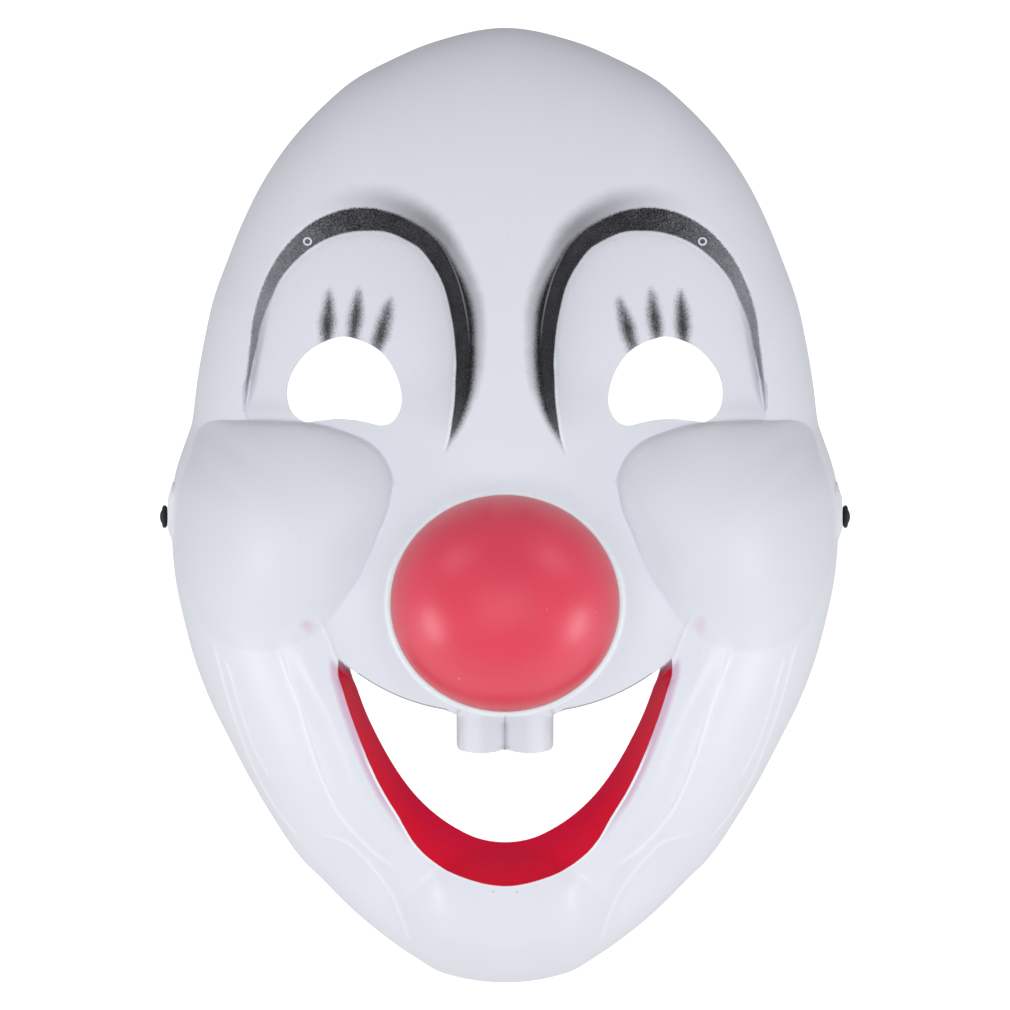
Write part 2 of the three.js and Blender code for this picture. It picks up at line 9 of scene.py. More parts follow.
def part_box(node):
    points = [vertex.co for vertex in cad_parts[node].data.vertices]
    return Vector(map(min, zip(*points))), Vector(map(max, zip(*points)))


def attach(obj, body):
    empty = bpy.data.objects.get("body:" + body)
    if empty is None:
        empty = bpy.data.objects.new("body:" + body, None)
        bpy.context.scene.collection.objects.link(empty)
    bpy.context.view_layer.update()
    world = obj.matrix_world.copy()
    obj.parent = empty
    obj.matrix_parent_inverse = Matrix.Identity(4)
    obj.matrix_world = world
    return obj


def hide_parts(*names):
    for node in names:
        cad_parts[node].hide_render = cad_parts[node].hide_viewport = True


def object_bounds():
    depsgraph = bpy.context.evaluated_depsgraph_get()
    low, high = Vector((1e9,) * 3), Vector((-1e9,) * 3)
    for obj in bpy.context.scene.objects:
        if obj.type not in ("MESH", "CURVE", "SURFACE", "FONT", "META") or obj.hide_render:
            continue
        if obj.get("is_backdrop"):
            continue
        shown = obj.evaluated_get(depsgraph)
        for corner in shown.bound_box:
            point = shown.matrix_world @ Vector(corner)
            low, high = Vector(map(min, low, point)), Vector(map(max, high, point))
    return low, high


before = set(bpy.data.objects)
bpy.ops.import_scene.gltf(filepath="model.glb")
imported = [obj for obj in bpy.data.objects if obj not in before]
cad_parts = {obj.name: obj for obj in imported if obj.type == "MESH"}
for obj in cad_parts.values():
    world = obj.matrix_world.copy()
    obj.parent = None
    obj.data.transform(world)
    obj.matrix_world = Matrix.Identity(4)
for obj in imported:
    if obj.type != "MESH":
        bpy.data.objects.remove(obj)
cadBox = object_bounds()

mm = 0.001
scene = bpy.context.scene

# camera: straight above the face, which fills the frame as in the photograph

view = {
    "distance": 2.0,  # metres above the floor
    "frameWidth": 0.25409,  # metres of floor across the picture
    "sensor": 36,
}


def makeCamera():
    data = bpy.data.cameras.new("camera")
    data.sensor_width = view["sensor"]
    data.lens = view["sensor"] * view["distance"] / view["frameWidth"]
    data.clip_start = 0.05
    data.clip_end = 50
    camera = bpy.data.objects.new("camera", data)
    camera.location = (0, 0, view["distance"])
    scene.collection.objects.link(camera)
    scene.camera = camera


makeCamera()


# shader sums are written as Python sums on wires

class Wire:
    def __init__(self, tree, socket=None):
        self.tree = tree
        self.socket = socket

    def node(self, kind, settings=None, values=None, out=0):
        made = self.tree.nodes.new(kind)
        for name, value in (settings or {}).items():
            if name == "stops":
                ramp = made.color_ramp
                while len(ramp.elements) < len(value):
                    ramp.elements.new(0.5)
                for element, (place, colour) in zip(ramp.elements, value):
                    element.position = place
                    element.color = (*colour, 1)
            else:
                setattr(made, name, value)
        for name, value in (values or {}).items():
            if isinstance(value, Wire):
                self.tree.links.new(value.socket, made.inputs[name])
            else:
                made.inputs[name].default_value = value
        return Wire(self.tree, made.outputs[out])

    def math(self, operation, *values):
        values = values or (self,)
        return self.node("ShaderNodeMath", {"operation": operation}, dict(enumerate(values)))

    def __add__(self, other):
        return self.math("ADD", self, other)

    __radd__ = __add__

    def __mul__(self, other):
        return self.math("MULTIPLY", self, other)

    __rmul__ = __mul__

    def __sub__(self, other):
        return self.math("SUBTRACT", self, other)

    def __rsub__(self, other):
        return self.math("SUBTRACT", other, self)

    def __truediv__(self, other):
        return self.math("DIVIDE", self, other)

    def smallest(self, other):
        return self.math("MINIMUM", self, other)

    def largest(self, other):
        return self.math("MAXIMUM", self, other)

    def step(self, start, end):
        limits = {"Value": self, "From Min": start, "From Max": end}
        return self.node("ShaderNodeMapRange", {"interpolation_type": "SMOOTHSTEP"}, limits)

    def mix(self, without, withIt):
        return self.node("ShaderNodeMix", {"data_type": "RGBA"}, {0: self, 6: without, 7: withIt}, 2)


def newMaterial(name):
    material = bpy.data.materials.new(name)
    material.use_nodes = True
    tree = material.node_tree
    shader = tree.nodes["Principled BSDF"]
    wires = Wire(tree)
    place = wires.node("ShaderNodeTexCoord", out=3)
    return material, wires, shader, place


def feed(wires, shader, **values):
    for name, value in values.items():
        target = shader.inputs[name.replace("_", " ")]
        if isinstance(value, Wire):
            wires.tree.links.new(value.socket, target)
        else:
            target.default_value = value


def noiseOf(wires, place, scale, detail=3.0, roughness=0.55):
    values = {"Vector": place, "Scale": scale, "Detail": detail, "Roughness": roughness}
    return wires.node("ShaderNodeTexNoise", values=values)


def axisOf(wires, place, axis):
    return wires.node("ShaderNodeSeparateXYZ", values={0: place}, out=axis)


def bumpOf(wires, height, strength, distance):
    values = {"Height": height, "Strength": strength, "Distance": distance}
    return wires.node("ShaderNodeBump", values=values)


def colour(red, green, blue):
    # a colour given as it looks on screen, 0 to 255
    channels = [value / 255 for value in (red, green, blue)]
    linear = [c / 12.92 if c <= 0.04045 else ((c + 0.055) / 1.055) ** 2.4 for c in channels]
    return (*linear, 1)


def addPiece(name, bm, *materials, smooth=True):
    mesh = bpy.data.meshes.new(name)
    bmesh.ops.scale(bm, vec=(mm, mm, mm), verts=bm.verts)
    bm.to_mesh(mesh)
    bm.free()
    for material in materials:
        mesh.materials.append(material)
    for polygon in mesh.polygons:
        polygon.use_smooth = smooth
    piece = bpy.data.objects.new(name, mesh)
    scene.collection.objects.link(piece)
    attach(piece, "root")
    return piece


# elastic: one loop of round cord from hole to hole, lying inside the rim round the forehead

elastic = {
    "diameter": 2.5,
    "length": 282,
    "holeDrop": 2.9,
    "holeHeight": 7,
    "route": [
        (0, 86, 1.5),
        (16, 85, 1.5),
        (31, 81, 1.5),
        (45, 74, 1.5),
        (56, 64, 1.5),
        (63.5, 51, 1.5),
        (67, 37, 1.5),
        (69, 23, 1.6),
        (70.3, 11, 2.4),
        (72.6, 2.6, 4.6),
    ],
}
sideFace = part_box("mask_shell")[1][0] / mm


def makeElasticMaterial():
    material, wires, shader, place = newMaterial("braided_elastic")
    strands = wires.node(
        "ShaderNodeTexVoronoi",
        {"feature": "DISTANCE_TO_EDGE"},
        {"Vector": place, "Scale": 2200.0},
    )
    fuzz = noiseOf(wires, place, 900.0)
    # the cord is lighter in the middle of each strand and darker where the strands meet
    strandMiddle = strands.step(0.0, 0.25)
    feed(
        wires,
        shader,
        Base_Color=strandMiddle.mix(colour(12, 12, 13), colour(38, 38, 41)),
        Roughness=fuzz * 0.2 + 0.5,
        Normal=bumpOf(wires, strands, 0.6, 0.0003),
    )
    return material


elasticMaterial = makeElasticMaterial()


def makeElastic():
    exitPoint = Vector((sideFace, -elastic["holeDrop"], elastic["holeHeight"]))
    inside = exitPoint - Vector((3 * elastic["diameter"], 0, 0))
    half = [Vector(point) for point in elastic["route"]] + [inside, exitPoint]
    mirrored = [Vector((-point.x, point.y, point.z)) for point in reversed(half[1:])]
    data = bpy.data.curves.new("elastic", "CURVE")
    data.dimensions = "3D"
    data.bevel_depth = elastic["diameter"] / 2 * mm
    data.bevel_resolution = 5
    data.resolution_u = 10
    data.use_fill_caps = True
    points = mirrored + half
    spline = data.splines.new("BEZIER")
    spline.bezier_points.add(len(points) - 1)
    for target, point in zip(spline.bezier_points, points):
        target.co = point * mm
        target.handle_left_type = "AUTO"
        target.handle_right_type = "AUTO"
    data.materials.append(elasticMaterial)
    piece = bpy.data.objects.new("elastic_loop", data)
    scene.collection.objects.link(piece)
    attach(piece, "root")
    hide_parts("elastic_cord")
    return piece, exitPoint


def sided(name, side):
    return name + ("_left" if side < 0 else "_right")


knot = {
    "width": 5.8,
    "proud": 2.0,
    "gap": 0.3,
    "turnRadius": 0.85,  # of the cord where it is pulled tight
    "lumpProud": 0.92,  # the lump inside the strands, as shares of proud and of width
    "lumpWidth": 0.86,
    "strandProud": 0.42,  # how flat the crossing strands lie
    "crossing": (0.6, -0.75),  # turns of the two strands about the hole's axis
}


def spinRound(bm, geom, steps):
    bmesh.ops.spin(
        bm, geom=geom, cent=(0, 0, 0), axis=(0, 0, 1), angle=2 * math.pi, steps=steps, use_merge=True
    )


def addStrand(bm, radius, tube, squash, turn):
    # one closed turn of cord, laid over the knot
    section = bmesh.ops.create_circle(bm, segments=12, radius=tube)["verts"]
    stand = Matrix.Translation((radius, 0, 0)) @ Matrix.Rotation(math.pi / 2, 4, "X")
    bmesh.ops.transform(bm, matrix=stand, verts=section)
    before = set(bm.verts) - set(section)
    edges = list(dict.fromkeys(edge for vert in section for edge in vert.link_edges))
    spinRound(bm, section + edges, 32)
    ring = [vert for vert in bm.verts if vert not in before]
    bmesh.ops.transform(bm, matrix=turn @ Matrix.Diagonal((1, 1, squash, 1)), verts=ring)


def makeKnot(side):
    # a tight overhand knot: a rounded lump with one turn round its foot and two strands crossing over it
    bm = bmesh.new()
    half = knot["width"] / 2
    lump = bmesh.ops.create_uvsphere(bm, u_segments=32, v_segments=20, radius=1)["verts"]
    lumpHalf = half * knot["lumpWidth"]
    bmesh.ops.scale(bm, vec=(knot["proud"] * knot["lumpProud"], lumpHalf, lumpHalf), verts=lump)
    tube = knot["turnRadius"]
    upright = Matrix.Rotation(math.pi / 2, 4, "Y")
    addStrand(bm, half - tube, tube, 0.75, Matrix.Translation((tube * 0.75, 0, 0)) @ upright)
    for tilt in knot["crossing"]:
        over = Matrix.Rotation(tilt, 4, "X") @ Matrix.Diagonal((knot["strandProud"], 1, 1, 1))
        addStrand(bm, half - tube * 0.9, tube * 0.7, 1.3, Matrix.Translation((0.5, 0, 0)) @ over)
    bmesh.ops.bisect_plane(
        bm,
        geom=bm.verts[:] + bm.edges[:] + bm.faces[:],
        plane_co=(0, 0, 0),
        plane_no=(-1, 0, 0),
        clear_outer=True,
    )
    bmesh.ops.holes_fill(bm, edges=[edge for edge in bm.edges if edge.is_boundary], sides=0)
    foot = sideFace + knot["gap"]
    bmesh.ops.translate(bm, vec=(foot, -elastic["holeDrop"], elastic["holeHeight"]), verts=bm.verts)
    if side < 0:
        bmesh.ops.scale(bm, vec=(-1, 1, 1), verts=bm.verts)
    bmesh.ops.recalc_face_normals(bm, faces=bm.faces)
    name = sided("knot", side)
    piece = addPiece(name + "_tied", bm, elasticMaterial)
    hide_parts(name)
    return piece


elasticPiece, elasticExit = makeElastic()
knots = [makeKnot(side) for side in (-1, 1)]
print("elastic and knots made")


# the moulding's sizes, in millimetres

shell = {
    "wall": 0.9,
    "padProud": 0.8,
    "foreheadDepth": 56,
    "chinDepth": 44,
    "foreheadSquareness": 2.8,
    "jawSquareness": 4.6,
    "wallSteepness": 2.2,
    "foreheadStart": 0.25,  # share of half the height up to which chin turns to forehead
    "reliefEdge": 0.86,  # shares of the way to the rim from which the relief fades out
    "bulgeEdge": 0.94,
    "muzzleWidth": 82,
    "muzzleBulge": 3,
    "muzzlePower": 1.5,
    "strapCut": 2,  # radius of the cut in the side wall behind the side pad
    "holeLean": 0.85,  # 1 cuts the holes straight down, 0 square to the skin
    "columns": 230,  # in half of the face
    "rows": 66,
    "rowCrowding": 1.5,
}
nose = {
    "width": 56,
    "height": 53,
    "wall": 1.2,
    "foot": 6,
    "footInset": 0.35,
    "drop": 24,
    "glueGap": 0.3,
    "clearance": 0.4,
    "seatDepth": 53,
    "seatWidth": 4,
    "seatBlend": 0.45,  # share of the collar's radius over which the seat runs into the face
    "collarWidth": 1,
    "collarHeight": 1,
    "collarRound": 0.25,
    "footRound": 0.25,
    "arcSteps": 28,
    "turnSteps": 144,
}
eye = {
    "spacing": 75.2,
    "rise": 34.4,
    "padReach": 25.5,
    "padDome": 3.2,
    "padPower": 1,
    "padSoftPower": 2.5,  # where the ledge has run out
    "padEdgeHeight": 0.45,
    "padEdgeWidth": 0.8,
    "padEdgeShift": 0.1,  # how far outside the pad's outline its crisp edge lies
    "ledge": 4.2,
    "ledgeLeast": 0.8,  # least width of the ledge
    "ledgeFadeDrop": 20,  # depth below the middle of the eye at which the ledge has run out
    "ledgeFullDrop": 2,
    "holeWidth": 27.5,
    "holeHeight": 23,
    "holeOutward": 2,
    "holeDrop": 5.6,
    "besideCheek": 5,  # distance from the cheek over which the ledge comes up
}
cheek = {
    "spacing": 107.6,
    "drop": 6.1,
    "reach": 29.4,
    "bulge": 10.5,
    "softPower": 2.2,
    "crispPower": 0.5,
}
mouth = {
    "drop": 45.6,
    "width": 75.6,
    "curve": 11,
    "curvePower": 2.6,
    "lipReach": 37.6,
    "lipDepth": 9,
    "surround": 4,
    "surroundSlope": 8,
    "surroundTop": -22,  # the raised skin grows between these two heights
    "surroundFull": -50,
    "cornerBlend": 3,
    "toothWidth": 11.9,
    "toothLength": 8.4,
    "toothCrown": 1,  # how far the lower edge of a tooth bends down
    "toothRound": 0.9,
    "toothBulge": 2.8,
}
chin = {
    "ballWidth": 52,
    "ballHeight": 40,
    "ballRise": 15,
    "bulge": 8,
    "power": 0.9,
    "hollowSpacing": 66,
    "hollowRise": 24,
    "hollowReach": 17,
    "hollowDepth": 4,
    "hollowPower": 1.5,
}

# half of the rim from the chin up: shares of half the width and of half the height
rimRows = [
    (0, -1),
    (0.19, -0.979),
    (0.27, -0.947),
    (0.31, -0.929),
    (0.344, -0.912),
    (0.42, -0.87),
    (0.545, -0.786),
    (0.607, -0.744),
    (0.692, -0.66),
    (0.763, -0.577),
    (0.826, -0.493),
    (0.886, -0.409),
    (0.932, -0.325),
    (0.965, -0.241),
    (0.99, -0.157),
    (1, -0.09),
    (1, 0.01),
    (0.996, 0.05),
    (0.98, 0.094),
    (0.959, 0.136),
    (0.94, 0.178),
    (0.925, 0.262),
    (0.904, 0.346),
    (0.877, 0.43),
    (0.834, 0.514),
    (0.786, 0.597),
    (0.725, 0.681),
    (0.642, 0.765),
    (0.527, 0.849),
    (0.454, 0.891),
    (0.342, 0.933),
    (0.211, 0.971),
    (0, 1),
]

# eyelid pad: angle from the nose's side by way of the brow to the temple, then shares of padReach:
# the pad's own edge, the crease at the top of the ledge, the edge of the paint, and the paint's depth
padRows = [
    (-90, 1.15, 1.15, 1.15, 0),
    (-50, 1.27, 1.29, 1.27, 0.35),
    (-40, 1.2, 1.23, 1.205, 0.75),
    (-27, 1.087, 1.16, 1.2, 0.92),
    (-10, 1.007, 1.12, 1.187, 0.97),
    (0, 1, 1.13, 1.19, 0.98),
    (12, 1.01, 1.155, 1.215, 0.98),
    (28, 1.07, 1.23, 1.3, 0.97),
    (44, 1.185, 1.35, 1.38, 0.97),
    (52, 1.24, 1.425, 1.44, 0.96),
    (60, 1.295, 1.48, 1.48, 0.95),
    (67, 1.31, 1.505, 1.5, 0.94),
    (75, 1.325, 1.52, 1.52, 0.96),
    (84, 1.305, 1.53, 1.53, 0.95),
    (93, 1.281, 1.51, 1.51, 0.93),
    (104, 1.238, 1.453, 1.453, 0.88),
    (112, 1.195, 1.393, 1.393, 0.84),
    (120, 1.15, 1.324, 1.324, 0.79),
    (131, 1.09, 1.23, 1.23, 0.73),
    (140, 1.03, 1.16, 1.16, 0.7),
    (150, 0.993, 1.095, 1.095, 0.67),
    (160, 0.967, 1.045, 1.045, 0.65),
    (168, 0.95, 1.015, 1.015, 0.65),
    (182, 0.981, 1.03, 1.02, 0.64),
    (194, 1.055, 1.09, 1.078, 0.52),
    (203, 1.125, 1.15, 1.13, 0.3),
    (235, 1.15, 1.17, 1.15, 0),
]

# haze of paint over the brow: angle as for the eyelid pad, how dense it is, how far it reaches
hazeRows = [
    (-26, 0, 2),
    (-7, 0.28, 2.5),
    (16, 0.38, 3.5),
    (42, 0.5, 4.6),
    (60, 0.62, 6.3),
    (75, 0.43, 7),
    (87, 0.22, 6.5),
    (108, 0, 6),
    (240, 0, 4),
]

# cheek: angle as for the eyelid pad, reach as a share of the cheek's, and how steeply it stands up
cheekRows = [
    (-120, 1.1, 0),
    (-77, 0.92, 0.2),
    (-43, 0.74, 0.8),
    (-6, 0.76, 1),
    (16, 0.91, 1),
    (27, 1, 1),
    (43, 1.02, 1),
    (61, 0.95, 1),
    (90, 0.91, 1),
    (112, 0.99, 1),
    (130, 1.15, 0.7),
    (145, 1.04, 0.5),
    (180, 0.97, 0.3),
    (208, 1.01, 0.15),
]

# mouth: angle from straight down, then shares of lipReach: cut edge, red rim, edge of the raised skin
lipRows = [
    (0, 1, 1.275, 1.9),
    (10, 0.99, 1.258, 1.89),
    (20, 0.96, 1.229, 1.84),
    (30, 0.931, 1.168, 1.6),
    (40, 0.906, 1.08, 1.4),
    (50, 0.887, 1.035, 1.36),
    (60, 0.88, 1.008, 1.33),
    (70, 0.889, 1, 1.31),
    (80, 0.918, 1.016, 1.34),
    (90, 0.964, 1.057, 1.42),
    (96, 1.01, 1.095, 1.48),
    (104, 1.05, 1.11, 1.54),
    (125, 1.05, 1.11, 1.3),
    (150, 1.05, 1.11, 1.15),
    (180, 1.05, 1.11, 1.1),
]

# eye hole from its top round by the nose: shares of half its width and of half its height
eyeHoleRows = [
    (0, 1.1),
    (0.25, 1.03),
    (0.47, 0.92),
    (0.66, 0.77),
    (0.84, 0.5),
    (0.96, 0.21),
    (1.03, -0.1),
    (1.04, -0.34),
    (0.97, -0.58),
    (0.84, -0.76),
    (0.67, -0.81),
    (0.45, -0.75),
    (0.2, -0.69),
    (-0.12, -0.66),
    (-0.45, -0.7),
    (-0.66, -0.73),
    (-0.86, -0.62),
    (-0.99, -0.38),
    (-1.03, -0.08),
    (-0.97, 0.26),
    (-0.83, 0.55),
    (-0.6, 0.83),
    (-0.31, 1.01),
]

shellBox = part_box("mask_shell")
halfHeight = (shellBox[1][1] - shellBox[0][1]) / 2 / mm
halfWidth = sideFace - shell["padProud"]
noseRadius = nose["width"] / 2
noseFlat = nose["height"] / nose["width"]
collarInner = noseRadius - nose["footInset"] + nose["clearance"]
collarOuter = collarInner + nose["collarWidth"]
noseHole = collarInner - nose["seatWidth"]
seatBlend = collarOuter * nose["seatBlend"]


def clamp(value, low=0.0, high=1.0):
    return min(high, max(low, value))


def lerp(start, end, share):
    return start + (end - start) * share


def ramp(value, start, end):
    share = clamp((value - start) / (end - start))
    return share * share * (3 - 2 * share)


def dome(share, power):
    return (1 - share * share) ** power if share < 1 else 0.0


def smoothCurve(keys, values, period=None):
    # a curve through the values that bends smoothly at each key
    if period:
        keys = [keys[-1] - period] + list(keys) + [keys[0] + period, keys[1] + period]
        values = [values[-1]] + list(values) + [values[0], values[1]]
    slopes = []
    for i in range(len(keys)):
        before = max(0, i - 1)
        after = min(len(keys) - 1, i + 1)
        slopes.append((values[after] - values[before]) / (keys[after] - keys[before]))
    if not period:
        slopes[0] = slopes[-1] = 0.0  # such a table is mirrored at both ends

    def at(key):
        if period:
            key = keys[1] + (key - keys[1]) % period
        i = min(max(bisect.bisect_right(keys, key) - 1, 0), len(keys) - 2)
        span = keys[i + 1] - keys[i]
        t = clamp((key - keys[i]) / span)
        rise = values[i + 1] - values[i]
        bend = span * slopes[i] * t * (1 - t) ** 2 - span * slopes[i + 1] * t * t * (1 - t)
        return values[i] + rise * t * t * (3 - 2 * t) + bend

    return at


def tableCurve(rows, column, period=None):
    return smoothCurve([row[0] for row in rows], [row[column] for row in rows], period)


padEdgeAt = tableCurve(padRows, 1, 360)
ledgeEdgeAt = tableCurve(padRows, 2, 360)
browPaintAt = tableCurve(padRows, 3, 360)
browDepthAt = tableCurve(padRows, 4, 360)
hazeDepthAt = tableCurve(hazeRows, 1, 360)
hazeReachAt = tableCurve(hazeRows, 2, 360)
cheekReachAt = tableCurve(cheekRows, 1, 360)
cheekCrispAt = tableCurve(cheekRows, 2, 360)
lipInnerAt = tableCurve(lipRows, 1)
lipOuterAt = tableCurve(lipRows, 2)
lipSurroundAt = tableCurve(lipRows, 3)


def polarRows(points):
    # turn from straight down, or from the first point on, and distance from the middle
    return [(math.atan2(x, -y), math.hypot(x, y)) for x, y in points]


def rimCurve():
    rows = polarRows([(x * halfWidth, y * halfHeight + nose["drop"]) for x, y in rimRows])
    keys = [turn for turn, far in rows]
    fars = [far for turn, far in rows]
    keys = [-keys[2], -keys[1]] + keys + [2 * math.pi - keys[-2], 2 * math.pi - keys[-3]]
    fars = [fars[2], fars[1]] + fars + [fars[-2], fars[-3]]
    return smoothCurve(keys, fars)


def eyeHoleCurve():
    points = [(x * eye["holeWidth"] / 2, y * eye["holeHeight"] / 2) for x, y in eyeHoleRows]
    rows = [(math.atan2(x, y) % (2 * math.pi), math.hypot(x, y)) for x, y in points]
    return tableCurve(rows, 1, 2 * math.pi)


rimReachAt = rimCurve()
eyeHoleReachAt = eyeHoleCurve()


# places on the face, in millimetres from its middle; the two sides are alike

def fromNose(x, y):
    return math.hypot(x, (y + nose["drop"]) / noseFlat)


def rimShare(x, y):
    up = y + nose["drop"]
    return math.hypot(x, up) / rimReachAt(math.atan2(abs(x), -up))


def around(x, y, spacing, rise):
    inward = spacing / 2 - abs(x)
    up = y - rise
    return math.hypot(inward, up), math.degrees(math.atan2(up, inward))


def roundMouth(x, y):
    down = -mouth["drop"] - y
    return math.hypot(x, down), math.degrees(math.atan2(abs(x), down))


def pastEyeEdge(edgeAt):
    # how far a place lies outside one of the edges round the eye
    def past(x, y):
        far, angle = around(x, y, eye["spacing"], eye["rise"])
        return far - eye["padReach"] * edgeAt(angle)

    return past


def pastMouthEdge(edgeAt):
    def past(x, y):
        far, angle = roundMouth(x, y)
        return far - mouth["lipReach"] * edgeAt(angle)

    return past


pastPad, pastLedge, pastBrowPaint = map(pastEyeEdge, (padEdgeAt, ledgeEdgeAt, browPaintAt))
pastLipCut, pastLipRim, pastSurround = map(pastMouthEdge, (lipInnerAt, lipOuterAt, lipSurroundAt))


def pastEyeHole(x, y):
    inward = eye["spacing"] / 2 + eye["holeOutward"] - abs(x)
    up = y - eye["rise"] + eye["holeDrop"]
    return math.hypot(inward, up) - eyeHoleReachAt(math.atan2(inward, up) % (2 * math.pi))


def pastCheek(x, y):
    far, angle = around(x, y, cheek["spacing"], -cheek["drop"])
    return far - cheek["reach"] * cheekReachAt(angle)


def pastPadEdge(x, y):
    return pastPad(x, y) - eye["padEdgeShift"]


def upperLip(x):
    share = abs(x) / (mouth["width"] / 2)
    return mouth["curve"] * (share ** mouth["curvePower"] - 0.5) - mouth["drop"]


def overUpperLip(x, y):
    return y - upperLip(x)


def pastTooth(x, y):
    # outline of one front tooth, with its lower edge bent and its corners rounded
    half = mouth["toothWidth"] / 2
    turn = mouth["toothRound"]
    bend = mouth["toothCrown"] * dome(abs(abs(x) - half) / half, 1)
    tip = -nose["drop"] - collarOuter * noseFlat - mouth["toothLength"] - bend
    across = max(0.0, abs(abs(x) - half) - half + turn)
    down = max(0.0, tip + turn - y)
    return math.hypot(across, down) - turn


def inMouth(x, y):
    return (
        pastLipCut(x, y) < 0
        and overUpperLip(x, y) < 0
        and fromNose(x, y) > collarOuter + 0.4
        and pastTooth(x, y) > 0
    )


# heights of the front over the rim

def baseHeight(y, share):
    low = ramp(y, -halfHeight, shell["foreheadStart"] * halfHeight)
    squareness = lerp(shell["jawSquareness"], shell["foreheadSquareness"], low)
    depth = lerp(shell["chinDepth"], shell["foreheadDepth"], low)
    return depth * max(0.0, 1 - share ** squareness) ** (1 / shell["wallSteepness"])


def eyeHeight(x, y):
    far, angle = around(x, y, eye["spacing"], eye["rise"])
    edge = eye["padReach"] * padEdgeAt(angle)
    crease = max(eye["padReach"] * ledgeEdgeAt(angle), edge + eye["ledgeLeast"])
    fade = ramp(eye["rise"] - y, eye["ledgeFadeDrop"], eye["ledgeFullDrop"])
    power = lerp(eye["padSoftPower"], eye["padPower"], fade)
    sunk = clamp((crease - far) / (crease - edge))
    sunk = lerp(sunk, ramp(sunk, 0, 1), 0.5)
    step = eye["padEdgeHeight"] * ramp(pastPadEdge(x, y), 0, -eye["padEdgeWidth"])
    besideCheek = ramp(pastCheek(x, y), 0, eye["besideCheek"])
    return eye["padDome"] * dome(far / edge, power) + fade * besideCheek * (step - eye["ledge"] * sunk)


def cheekHeight(x, y):
    far, angle = around(x, y, cheek["spacing"], -cheek["drop"])
    power = lerp(cheek["softPower"], cheek["crispPower"], cheekCrispAt(angle))
    return cheek["bulge"] * dome(far / (cheek["reach"] * cheekReachAt(angle)), power)


def mouthHeight(x, y):
    far, angle = roundMouth(x, y)
    inner = mouth["lipReach"] * lipInnerAt(angle)
    outer = mouth["lipReach"] * lipOuterAt(angle)
    surround = mouth["lipReach"] * lipSurroundAt(angle)
    under = ramp(upperLip(x) - y, 0, mouth["cornerBlend"])
    back = clamp((outer - far) / (outer - inner))
    back *= ramp(far, inner - 2 * mouth["surround"], inner - mouth["surround"])
    raised = ramp(far, surround, surround - mouth["surroundSlope"])
    raised *= ramp(y, mouth["surroundTop"], mouth["surroundFull"])
    return mouth["surround"] * raised - mouth["lipDepth"] * back * under


def muzzleHeight(x, y):
    half = shell["muzzleWidth"] / 2
    return shell["muzzleBulge"] * dome(math.hypot(x, y + nose["drop"]) / half, shell["muzzlePower"])


def chinHeight(x, y):
    across = x / (chin["ballWidth"] / 2)
    up = (y + halfHeight - chin["ballRise"]) / (chin["ballHeight"] / 2)
    return chin["bulge"] * dome(math.hypot(across, up), chin["power"])


def hollowHeight(x, y):
    across = abs(x) - chin["hollowSpacing"] / 2
    up = y + halfHeight - chin["hollowRise"]
    return -chin["hollowDepth"] * dome(math.hypot(across, up) / chin["hollowReach"], chin["hollowPower"])


# fine ridges in the skin: height, half width, length of the faded ends,
# and the way as pairs of height on the face and distance from its middle
fullRidge = 0.4
ridges = [
    # two along the jaw's shoulder
    (
        (fullRidge, 0.65, 6),
        [(-86, 50.2), (-76.2, 56.7), (-67.3, 61.8), (-51.4, 67.8), (-37, 71.7), (-31, 73.2)],
    ),
    (
        (0.37, 0.6, 4),
        [(-70, 58.2), (-60, 62.6), (-51.4, 65.5), (-43, 67.9), (-36, 69.7)],
    ),
    # between the jaw and the raised skin round the mouth
    (
        (fullRidge, 0.9, 6),
        [(-92, 25), (-85.6, 32.8), (-76.7, 40.7), (-67.8, 45.1), (-60.9, 47.6), (-51, 50.5), (-34, 55.6)],
    ),
    # over the hollow beside the chin
    (
        (0.35, 1.1, 3),
        [(-110, 24), (-99, 27), (-92.5, 30.8), (-86.5, 35.7), (-83.2, 39.7), (-81.6, 45), (-80, 50.5)],
    ),
    # below the inner end of the cheek
    (
        (0.3, 0.8, 4),
        [(-46, 38.4), (-38.2, 41.2), (-31.3, 43.9), (-26, 46)],
    ),
]
ridgeCurves = [smoothCurve(*zip(*way)) for sizes, way in ridges]


def pastRidge(index, x, y):
    curve = ridgeCurves[index]
    slope = (curve(y + 0.2) - curve(y - 0.2)) / 0.4
    return (abs(x) - curve(y)) / math.hypot(1, slope)


def ridgeShares(x, y):
    # how much of each ridge's full height stands at a place
    for index, ((rise, half, fade), way) in enumerate(ridges):
        low, high = way[0][0], way[-1][0]
        if low < y < high:
            ends = ramp(y, low, low + fade) * ramp(y, high, high - fade)
            yield rise, ends * dome(abs(pastRidge(index, x, y)) / half, 2)


def ridgeHeight(x, y):
    return sum(rise * share for rise, share in ridgeShares(x, y))


def toothHeight(x, y):
    if pastTooth(x, y) > 0.3 or overUpperLip(x, y) > 2:
        return 0.0
    across = (abs(x) - mouth["toothWidth"] / 2) / (mouth["toothWidth"] / 2)
    return mouth["toothBulge"] * (math.sqrt(max(0.0, 1 - across * across)) - 1)


def frontHeight(x, y):
    share = rimShare(x, y)
    if share >= 1:
        return 0.0
    relief = eyeHeight(x, y) + muzzleHeight(x, y) + hollowHeight(x, y) + mouthHeight(x, y)
    relief += ridgeHeight(x, y)
    bulges = cheekHeight(x, y) + chinHeight(x, y)
    face = baseHeight(y, share)
    face += ramp(share, 1, shell["reliefEdge"]) * relief + ramp(share, 1, shell["bulgeEdge"]) * bulges
    seated = ramp(fromNose(x, y), collarOuter, collarOuter + seatBlend)
    return lerp(nose["seatDepth"], face, seated) + toothHeight(x, y)


